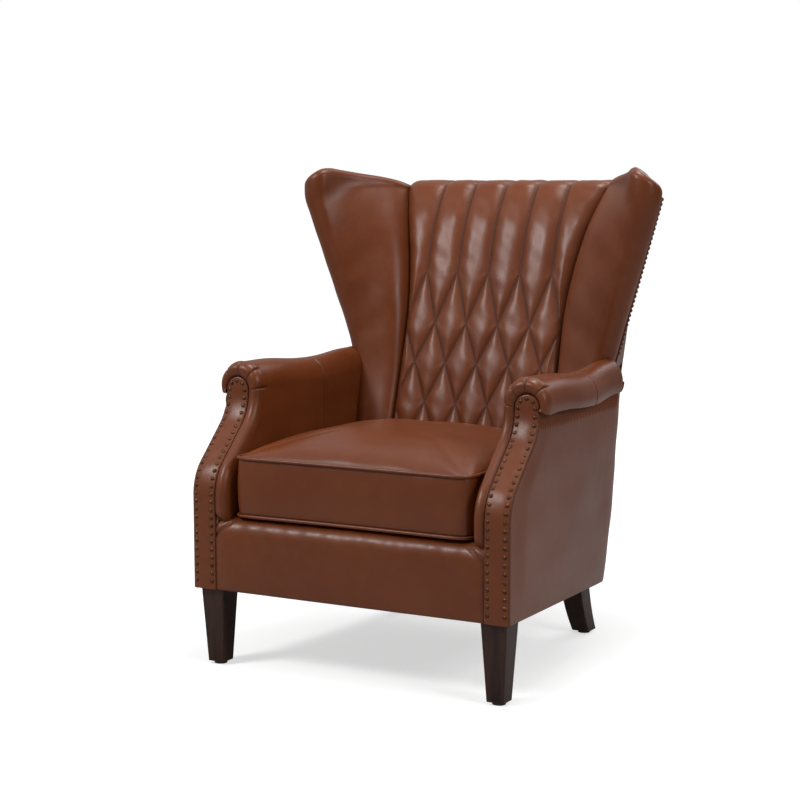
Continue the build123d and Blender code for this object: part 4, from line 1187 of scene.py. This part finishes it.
    def outside(self) -> Sheet:
        """The outside arm from the facing round to the back corner, gathered under the roll."""
        scroll = LINES.scroll()
        top_z = scroll[-1, 2] + 2.0
        rows = []
        shares = np.concatenate([np.linspace(0.0, 0.86, 70, endpoint=False), np.linspace(0.86, 1.0, 40)])
        for share in shares:
            plan_z = LINES.front_clearance + (top_z - LINES.front_clearance) * share
            rise = (plan_z - self.strip_low_z) / (top_z - self.strip_low_z)
            side_half = LINES.facing_out - self.side_taper + (self.side_taper - self.top_taper) * rise
            side_y = self.side_rear_y + (LINES.arm_rear_y - self.side_rear_y) * rise
            front_y = float(np.interp(plan_z, scroll[:, 2], scroll[:, 1]))
            start = np.array([LINES.facing_out, front_y + 1.0])
            turn = np.array([side_half, side_y])
            end = np.array([float(LINES.outside_half(plan_z)), float(LINES.outside_y(plan_z)) - 3.2])
            before = turn + (start - turn) * 0.10
            after = turn + (end - turn) * 0.35
            bend = bezier([before, turn, turn, after], 14)
            lead = start + (before - start) * np.linspace(0.0, 1.0, 30)[:-1, None]
            tail = after + (end - after) * np.linspace(0.0, 1.0, 14)[1:, None]
            plan = resample(np.concatenate([lead, bend, tail]), self.outside_columns)
            low = LINES.base_z(plan[:, 1])
            z = low + (top_z - low) * share
            rows.append(np.concatenate([plan, z[:, None]], axis=1))
        points = np.stack(rows)
        out = outward_normals(points)
        column = np.linspace(0.0, 1.0, points.shape[1])[None, :]
        row = shares[:, None]
        swell = self.panel_swell * np.power(np.sin(math.pi * np.clip(row, 0.0, 1.0)), 0.6) * smooth(
            column / 0.12) * smooth((1.0 - column) / 0.06)
        under = smooth((row - 0.87) / 0.10)
        ripple = np.sin(points[..., 1] * 2.0 * math.pi / self.gather_pitch)
        gather = self.gather_depth * ripple * under * smooth((LINES.arm_rear_y - points[..., 1]) / 20.0)
        soft = 1.4 * waves(points, 170.0, 3.1) * smooth(column / 0.1) * np.sin(math.pi * row) ** 0.5
        face = points + out * (swell + gather + soft)[..., None]
        lip = face[:1] - out[:1] * 7.0 - np.array([0.0, 0.0, 1.0])
        # Painted shade in the valleys of the gathers, along the front edge beside the facing and along the
        # top under the roll.
        seam_and_shade = np.clip(-gather / self.gather_depth, 0.0, 1.0) ** 2 * 0.9 + 0.5 * bell(column, 0.008)
        seam_and_shade = np.maximum(seam_and_shade, smooth((row - 0.985) / 0.01) * 0.9)
        return Sheet(np.concatenate([lip, face]), np.concatenate([seam_and_shade[:1] * 0.0, seam_and_shade]))

    def build(self, shop: Upholsterer) -> None:
        """Makes the arm's three leather pieces."""
        word = self.side.word
        sign = float(self.side.value)
        pad = shop.piece(
            f"arm_pad_{word}", [self.pad().mirrored(self.side)], heart=(sign * 330.0, -60.0, 450.0))
        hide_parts(f"arm_cover_{word}", f"arm_foam_{word}")
        facing = shop.piece(
            f"arm_front_{word}", [self.facing().mirrored(self.side)], heart=(sign * 329.0, 0.0, 300.0))
        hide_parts(f"arm_facing_{word}")
        outside = shop.piece(
            f"outside_arm_skin_{word}", [self.outside().mirrored(self.side)],
            heart=(0.0, 0.0, 350.0), thickness=3.0)
        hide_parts(f"outside_arm_{word}")


@dataclass
class FrontBorder:
    """The padded border under the cushion, folded in at its upper corners."""

    face_y: float = -394.0
    top_round: float = 30.0
    depth: float = 46.0
    swell: float = 4.5
    fold_from: tuple[float, float] = (268.0, 300.0)
    fold_to: tuple[float, float] = (303.0, 272.0)

    def sheet(self) -> Sheet:
        """The border from its lower edge up and back under the cushion."""
        top_z = LINES.deck_z
        turns = np.linspace(0.0, math.pi / 2, 16)
        lower = np.linspace(LINES.front_clearance, top_z - self.top_round, 60, endpoint=False)
        y = np.concatenate([
            [self.face_y + 8.0, self.face_y + 2.0], np.full_like(lower, self.face_y),
            self.face_y + self.top_round * (1.0 - np.cos(turns)), [self.face_y + self.depth]])
        z = np.concatenate([
            [LINES.front_clearance, LINES.front_clearance - 1.0], lower + 1.0,
            top_z - self.top_round + self.top_round * np.sin(turns), [top_z]])
        x = np.linspace(-LINES.facing_in + 0.5, LINES.facing_in - 0.5, 260)
        points = np.stack(np.broadcast_arrays(x[None, :], y[:, None], z[:, None]), axis=2).copy()
        rise = np.clip((z - LINES.front_clearance) / (top_z - LINES.front_clearance), 0.0, 1.0)[:, None]
        edge = LINES.facing_in - np.abs(x)[None, :]
        swell = self.swell * np.power(np.sin(math.pi * np.clip(rise, 0.0, 0.85)), 0.7) * puff(edge, 26.0)
        run = np.array(self.fold_to) - np.array(self.fold_from)
        away = ((np.abs(points[..., 0]) - self.fold_from[0]) * -run[1]
                + (points[..., 2] - self.fold_from[1]) * run[0]) / np.hypot(*run)
        near = smooth((np.abs(points[..., 0]) - 258.0) / 14.0)
        crease = bell(away, 3.5) * near
        puckers = 0.8 * np.sin(points[..., 0] * 2.0 * math.pi / 46.0 + 0.6) * smooth((rise - 0.62) / 0.3)
        soft = 1.3 * waves(points, 150.0, 5.3)
        raised = swell - 4.0 * crease + (puckers + soft) * puff(edge, 30.0)
        points[..., 1] -= raised * smooth((rise + 0.02) / 0.06)
        # Painted shade in the corner crease and along the side edges beside the facings.
        seam_and_shade = bell(away, 1.7) * near * 0.8
        return Sheet(points, np.maximum(seam_and_shade, np.broadcast_to(bell(edge, 4.0), seam_and_shade.shape)))

    def build(self, shop: Upholsterer) -> None:
        """Makes the border."""
        piece = shop.piece("front_border_skin", [self.sheet()], heart=(0.0, 0.0, 200.0))
        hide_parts("front_border")


@dataclass
class SeatCushion:
    """The loose seat cushion: crowned top, swelling boxing and two piped seams."""

    bottom_z: float = 307.0
    low_seam_z: float = 314.0
    high_seam_z: float = 430.0
    top_z: float = 481.0
    front_y: float = -386.0
    back_gap: float = 9.0
    half: float = 264.5
    corner_power: float = 17.0
    draw_in: float = 6.0
    welt_radius: float = 3.5
    grid: int = 76
    boxing_rows: int = 18
    swell: float = 5.0
    pressure: float = 4.0
    cap: float = 7.0
    frames: int = 16

    def plan(self, u: Array, v: Array, z: float) -> Array:
        """Points of the plan for square places u and v from -1 to 1."""
        rear = float(LINES.back_y(min(z, self.high_seam_z))) - self.back_gap
        deep = (rear - self.front_y) / 2.0
        reach = np.maximum(np.abs(u), np.abs(v))
        safe = np.maximum(reach, 1e-9)
        a, b = u / safe, v / safe
        scale = np.power(np.power(np.abs(a), self.corner_power) + np.power(np.abs(b), self.corner_power),
                         -1.0 / self.corner_power)
        x = self.half * u * scale
        y = deep * v * scale
        x = x - np.sign(u) * self.draw_in * (1.0 - b * b) * np.power(np.abs(a), 6) * reach
        y = y - np.sign(v) * self.draw_in * (1.0 - a * a) * np.power(np.abs(b), 6) * reach
        return np.stack([x, y + (self.front_y + rear) / 2.0], axis=-1)

    def rim(self) -> tuple[Array, Array]:
        """Row and column numbers round the edge of the square grid."""
        last = self.grid - 1
        run = np.arange(last)
        rows = np.concatenate([np.zeros(last, int), run, np.full(last, last), last - run])
        columns = np.concatenate([run, np.full(last, last), last - run, np.zeros(last, int)])
        return rows, columns

    def build(self, shop: Upholsterer) -> None:
        """Makes the cushion and its two welts."""
        eased = np.sin(np.linspace(-math.pi / 2, math.pi / 2, self.grid))
        u, v = square_grid(eased * 0.35 + np.linspace(-1.0, 1.0, self.grid) * 0.65)
        dome = np.power(np.clip((1.0 - np.abs(u) ** 3.0) * (1.0 - np.abs(v) ** 3.0), 0.0, 1.0), 0.62)
        top = np.concatenate([
            self.plan(u, v, self.high_seam_z),
            (self.high_seam_z + (self.top_z - self.high_seam_z) * dome)[..., None]], axis=-1)
        top[..., 2] += 1.6 * waves(top, 190.0, 4.4) * smooth(dome / 0.3)
        flat = self.low_seam_z + (self.bottom_z - self.low_seam_z) * np.power(dome, 0.5)
        bottom = np.concatenate([self.plan(u, v, self.low_seam_z), flat[..., None]], axis=-1)
        rows, columns = self.rim()
        high = top[rows, columns]
        low = bottom[rows, columns]
        count = len(rows)
        square = [place[rows, columns] for place in (u, v)]
        square = [np.sign(place) * np.power(np.abs(place), 9) for place in square]
        outward = np.stack([*square, np.zeros(count)], axis=1)
        outward /= np.linalg.norm(outward, axis=1, keepdims=True)
        bands = []
        for t in np.linspace(0.0, 1.0, self.boxing_rows)[1:-1]:
            ring = high + (low - high) * t
            ring = ring + outward * self.swell * math.sin(math.pi * t) ** 0.7
            bands.append(ring + outward * (0.9 * waves(ring, 120.0, 0.2))[:, None])
        size = self.grid * self.grid
        vertices = np.concatenate([top.reshape(-1, 3), bottom.reshape(-1, 3), np.concatenate(bands)])
        faces = Sheet(top).faces() + Sheet(bottom).faces(size)
        edge = rows * self.grid + columns
        loops = [edge]
        loops += [2 * size + count * index + np.arange(count) for index in range(len(bands))]
        loops.append(edge + size)
        for upper, lower in zip(loops, loops[1:]):
            for index in range(count):
                after = (index + 1) % count
                faces.append((int(upper[index]), int(upper[after]), int(lower[after]), int(lower[index])))
        seam = np.concatenate([edge, edge + size])
        # The points along the seams are darkened: painted shade where the piping meets the cover.
        marks = np.zeros(len(vertices))
        marks[seam] = 0.8
        piece = shop.mesh_piece(
            "seat_cushion_cover", vertices, faces, marks, Slot.LEATHER, Body.CUSHION, (0.0, -150.0, 390.0))
        self.inflate(piece, seam)
        piece.modifiers.new("soften", "SUBSURF").levels = 1
        piece.modifiers["soften"].render_levels = 1
        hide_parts("cushion_top_panel", "cushion_boxing", "cushion_bottom_panel", "cushion_core")
        for word, loop in (("top", high), ("bottom", low)):
            line = loop + outward * (self.welt_radius * 0.75)
            welt = shop.tube(f"cushion_{word}_piping", line, self.welt_radius, Body.CUSHION)
            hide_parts(f"cushion_{word}_welt")

    def inflate(self, piece: bpy.types.Object, seam: Array) -> None:
        """Lets the filling press the cover out between its seams.

        Args:
            piece: The cushion cover.
            seam: Numbers of the points that the seams hold.
        """
        count = len(piece.data.vertices)
        rest = np.empty(count * 3, np.float32)
        piece.data.vertices.foreach_get("co", rest)
        held = piece.vertex_groups.new(name="seams")
        held.add([int(index) for index in seam], 1.0, "REPLACE")
        cloth = piece.modifiers.new("filling", "CLOTH")
        settings = cloth.settings
        settings.quality = 5
        settings.mass = 0.4
        settings.tension_stiffness = 25.0
        settings.compression_stiffness = 25.0
        settings.bending_stiffness = 2.0
        settings.use_pressure = True
        settings.uniform_pressure_force = self.pressure
        settings.effector_weights.gravity = 0.0
        settings.vertex_group_mass = held.name
        for moment in range(1, self.frames + 1):
            bpy.context.scene.frame_set(moment)
        posed = piece.evaluated_get(bpy.context.evaluated_depsgraph_get())
        moved = np.empty(count * 3, np.float32)
        posed.data.vertices.foreach_get("co", moved)
        piece.modifiers.remove(cloth)
        bpy.context.scene.frame_set(1)
        shift = (moved - rest).reshape(-1, 3)
        length = np.linalg.norm(shift, axis=1, keepdims=True)
        shift *= np.minimum(1.0, self.cap * MM / np.maximum(length, 1e-9))
        level = rest.reshape(-1, 3)
        under = level[:, 2] < (self.low_seam_z + 1.0) * MM
        shift[:, 2] = np.where(under, np.maximum(shift[:, 2], 0.0), shift[:, 2])
        piece.data.vertices.foreach_set("co", (level + shift).reshape(-1).astype(np.float32))
        piece.data.update()
        piece.vertex_groups.remove(held)
        LOG.info("cushion pressed out by up to %.1f mm", float(np.abs(shift).max()) / MM)


@dataclass
class Undercarriage:
    """What lies behind and below: outside back, seat deck, dust cover and the solids that stay."""

    woods: tuple[str, ...] = (
        "arm_board", "arm_stump", "arm_top_rail", "back_lower_rail", "back_post", "back_top_rail",
        "corner_blocks", "front_rail", "rear_rail", "side_rail", "wing_post", "wing_rail")
    nodes: dict[str, Slot] = field(default_factory=lambda: {
        "front_leg": Slot.DARK_WOOD, "rear_leg": Slot.DARK_WOOD,
        "arm_nails": Slot.NAIL, "wing_nails": Slot.NAIL,
        "back_webbing": Slot.WEBBING, "foot_glides": Slot.GLIDE, "leg_bolts": Slot.CLIP,
        "seat_springs": Slot.SPRING, "spring_clips": Slot.CLIP})
    panel_top_drop: float = 44.0
    panel_swell: float = 7.0
    deck_crown: float = 3.0
    dust_sag: float = 3.0

    def outside_back(self, shop: Upholsterer) -> None:
        """Makes the plain padded outside back."""
        share = np.linspace(0.0, 1.0, 90)[:, None]
        across = np.linspace(-1.0, 1.0, 90)[None, :]
        top = LINES.crest_z - 1.0 - self.panel_top_drop
        z = LINES.rear_clearance + 1.0 + (top - LINES.rear_clearance) * share
        half = LINES.outside_half(z)
        edge = np.minimum(
            np.minimum(share, 1.0 - share) * (top - LINES.rear_clearance), (1.0 - np.abs(across)) * half)
        y = LINES.outside_y(z) - 1.5 + self.panel_swell * (puff(edge, 120.0) - 1.0) * 0.6
        y = y + 3.0 * (puff(edge, 8.0) - 1.0)
        points = np.stack(np.broadcast_arrays(across * half, y + 3.0, z + 0.0 * across), axis=2).copy()
        points[..., 1] += 1.2 * waves(points, 220.0, 6.1) * smooth(edge / 60.0)
        # Painted shade along all four edges of the outside back, where it meets the parts around it.
        piece = shop.piece("outside_back_skin", [Sheet(points, bell(edge, 5.0) * 0.6)],
                           heart=(0.0, 0.0, 500.0), thickness=3.0)
        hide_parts("outside_back")

    def level_sheet(self, name: str, crown: float) -> Sheet:
        """A sheet over the top of a node's box, raised in the middle by its crown."""
        low, high = node_box(name)
        u, v = square_grid(np.linspace(-1.0, 1.0, 48))
        x = (low[0] + high[0]) / 2.0 + (high[0] - low[0]) / 2.0 * u
        y = (low[1] + high[1]) / 2.0 + (high[1] - low[1]) / 2.0 * v
        z = high[2] - crown + crown * (1.0 - u ** 4) * (1.0 - v ** 4)
        return Sheet(np.stack([x, y, z], axis=2))

    def deck(self, shop: Upholsterer) -> None:
        """Makes the cloth-covered deck that the cushion lies on."""
        low, high = node_box("seat_deck")
        piece = shop.piece("seat_deck_pad", [self.level_sheet("seat_deck", self.deck_crown)], Slot.DECK,
                           heart=(0.0, 0.0, 0.0), thickness=float(high[2] - low[2]) - self.deck_crown)
        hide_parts("seat_deck")

    def dust_cover(self, shop: Upholsterer) -> None:
        """Makes the thin cloth stretched under the frame."""
        low, high = node_box("dust_cover")
        u, v = square_grid(np.linspace(-1.0, 1.0, 40))
        x = high[0] * u
        y = (low[1] + high[1]) / 2.0 + (high[1] - low[1]) / 2.0 * v
        z = LINES.base_z(y) - 0.4 - self.dust_sag * (1.0 - u * u) * (1.0 - v * v)
        piece = shop.piece("dust_cover_cloth", [Sheet(np.stack([x, y, z], axis=2))], Slot.DUST,
                           heart=(0.0, 0.0, 400.0), thickness=1.0)
        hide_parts("dust_cover")

    def build(self, shop: Upholsterer) -> None:
        """Makes the hidden pieces and dresses the solids that stay."""
        self.outside_back(shop)
        self.deck(shop)
        self.dust_cover(shop)
        slots = {**dict.fromkeys(self.woods, Slot.FRAME_WOOD), **self.nodes}
        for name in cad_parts:
            stem = name.removesuffix("_left").removesuffix("_right")
            if stem in slots:
                shop.wardrobe.dress_node(name, slots[stem])


@dataclass(frozen=True)
class Lamp:
    """One square lamp: its place and size in metres and its power in watts."""

    name: str
    place: Place
    size: float
    power: float


@dataclass
class Studio:
    """A pale floor, soft light and the camera."""

    target: Place = (0.0, -115.0, 450.0)
    azimuth: float = math.radians(29.209)
    elevation: float = math.radians(7.8825)
    distance: float = 3864.4
    lens: float = 85.06
    shift: tuple[float, float] = (-0.0190, 0.0504)
    world_strength: float = 0.26
    floor_colour: Colour = (0.50, 0.50, 0.50)
    floor_mirrored: float = 0.07
    floor_shade: Colour = (0.52, 0.52, 0.52)
    floor_glow: Colour = (0.60, 0.60, 0.60)
    floor_size: float = 14.0
    pool_near: float = 0.9
    pool_far: float = 2.6
    sensor: float = 36.0
    clip_end: float = 50.0
    lamps: tuple[Lamp, ...] = (
        Lamp("key", (-1.5, -2.3, 2.6), 0.9, 80.0),
        Lamp("fill", (2.9, -1.0, 2.0), 0.9, 40.0),
        Lamp("crown", (0.3, 0.1, 3.2), 0.9, 54.0),
        Lamp("rim", (0.7, 2.3, 2.6), 1.8, 30.0),
    )

    def backdrop_share(self, graph: Graph, mirrored: Term = 1.0) -> Signal:
        """How far a ray sees the plain backdrop.

        Args:
            graph: The graph that asks.
            mirrored: How far a reflection sees it.

        Returns:
            One for rays of the camera and through clear surfaces.
        """
        path = graph.node("ShaderNodeLightPath").outputs
        seen = Signal(graph, path["Is Camera Ray"]) + Signal(graph, path["Is Glossy Ray"]) * mirrored
        return seen + Signal(graph, path["Is Transmission Ray"])

    def floor(self) -> None:
        """Lays a floor that reads as white and keeps the shadow."""
        half = self.floor_size / 2.0
        mesh = bpy.data.meshes.new("floor")
        corners = [(-half, -half, 0), (half, -half, 0), (half, half, 0), (-half, half, 0)]
        mesh.from_pydata(corners, [], [(0, 1, 2, 3)])
        floor = bpy.data.objects.new("floor", mesh)
        bpy.context.scene.collection.objects.link(floor)
        graph = Graph.material("pale_floor")
        plain = graph.node("ShaderNodeBsdfDiffuse", None, {"Color": (*self.floor_colour, 1.0)})
        away = graph.node("ShaderNodeVectorMath", {"operation": "LENGTH"}, {0: graph.place}).outputs["Value"]
        far = Signal(graph, away).above(self.pool_near, self.pool_far)
        shade = graph.node("ShaderNodeBsdfDiffuse", None, {"Color": (*self.floor_shade, 1.0)})
        glow = graph.node("ShaderNodeEmission", None, {
            "Color": graph.mix(far, self.floor_glow, (1.0, 1.0, 1.0)), "Strength": 1.0})
        lit = graph.node("ShaderNodeAddShader", None, {0: shade.outputs[0], 1: glow.outputs[0]})
        mixed = graph.node("ShaderNodeMixShader", None, {
            0: self.backdrop_share(graph, self.floor_mirrored), 1: plain.outputs[0], 2: lit.outputs[0]})
        graph.node("ShaderNodeOutputMaterial", None, {"Surface": mixed.outputs[0]})
        mesh.materials.append(graph.owner)

    def world(self) -> None:
        """Fills the room with soft light, brighter from above, and shows white behind the chair."""
        graph = Graph(bpy.data.worlds.new("studio"), "Generated")
        axes = graph.node("ShaderNodeSeparateXYZ", None, {0: graph.place}).outputs
        across, along, up = (Signal(graph, axis) for axis in axes)
        window = (up * 0.8 - across * 0.3 - along * 0.25).above(0.0, 0.8)
        plain = (1.0, 1.0, 1.0, 1.0)
        fill = graph.node("ShaderNodeBackground", None, {"Color": plain, "Strength": self.world_strength})
        white = graph.node("ShaderNodeBackground", None, {"Color": plain, "Strength": 1.0})
        mixed = graph.node("ShaderNodeMixShader", None, {
            0: self.backdrop_share(graph, window), 1: fill.outputs[0], 2: white.outputs[0]})
        graph.node("ShaderNodeOutputWorld", None, {"Surface": mixed.outputs[0]})
        bpy.context.scene.world = graph.owner

    def hang(self, lamp: Lamp) -> None:
        """Hangs one soft square lamp that looks at the chair."""
        data = bpy.data.lights.new(lamp.name, "AREA")
        data.shape = "SQUARE"
        data.size = lamp.size
        data.energy = lamp.power
        light = bpy.data.objects.new(lamp.name, data)
        light.location = lamp.place
        aim = Vector(self.target) * MM - light.location
        light.rotation_euler = aim.to_track_quat("-Z", "Y").to_euler()
        bpy.context.scene.collection.objects.link(light)

    def camera(self) -> None:
        """Sets the camera at the picture's viewing angle."""
        data = bpy.data.cameras.new("camera")
        data.lens = self.lens
        data.sensor_width = self.sensor
        data.shift_x, data.shift_y = self.shift
        data.clip_end = self.clip_end
        camera = bpy.data.objects.new("camera", data)
        away = Vector((math.sin(self.azimuth) * math.cos(self.elevation),
                       -math.cos(self.azimuth) * math.cos(self.elevation), math.sin(self.elevation)))
        camera.location = (Vector(self.target) + away * self.distance) * MM
        camera.rotation_euler = (-away).to_track_quat("-Z", "Y").to_euler()
        bpy.context.scene.collection.objects.link(camera)
        bpy.context.scene.camera = camera

    def build(self) -> None:
        """Sets up the whole studio."""
        bpy.context.scene.view_settings.view_transform = "Standard"
        self.camera()
        self.floor()
        self.world()
        for lamp in self.lamps:
            self.hang(lamp)


def main() -> None:
    """Builds the chair piece by piece."""
    logging.basicConfig(level=logging.INFO, format="%(message)s")
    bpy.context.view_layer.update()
    shop = Upholsterer(Wardrobe())
    Studio().build()
    QuiltedBack().build(shop)
    for side in Side:
        Wing(side).build(shop)
        Arm(side).build(shop)
    FrontBorder().build(shop)
    SeatCushion().build(shop)
    Undercarriage().build(shop)


if __name__ == "__main__":
    main()
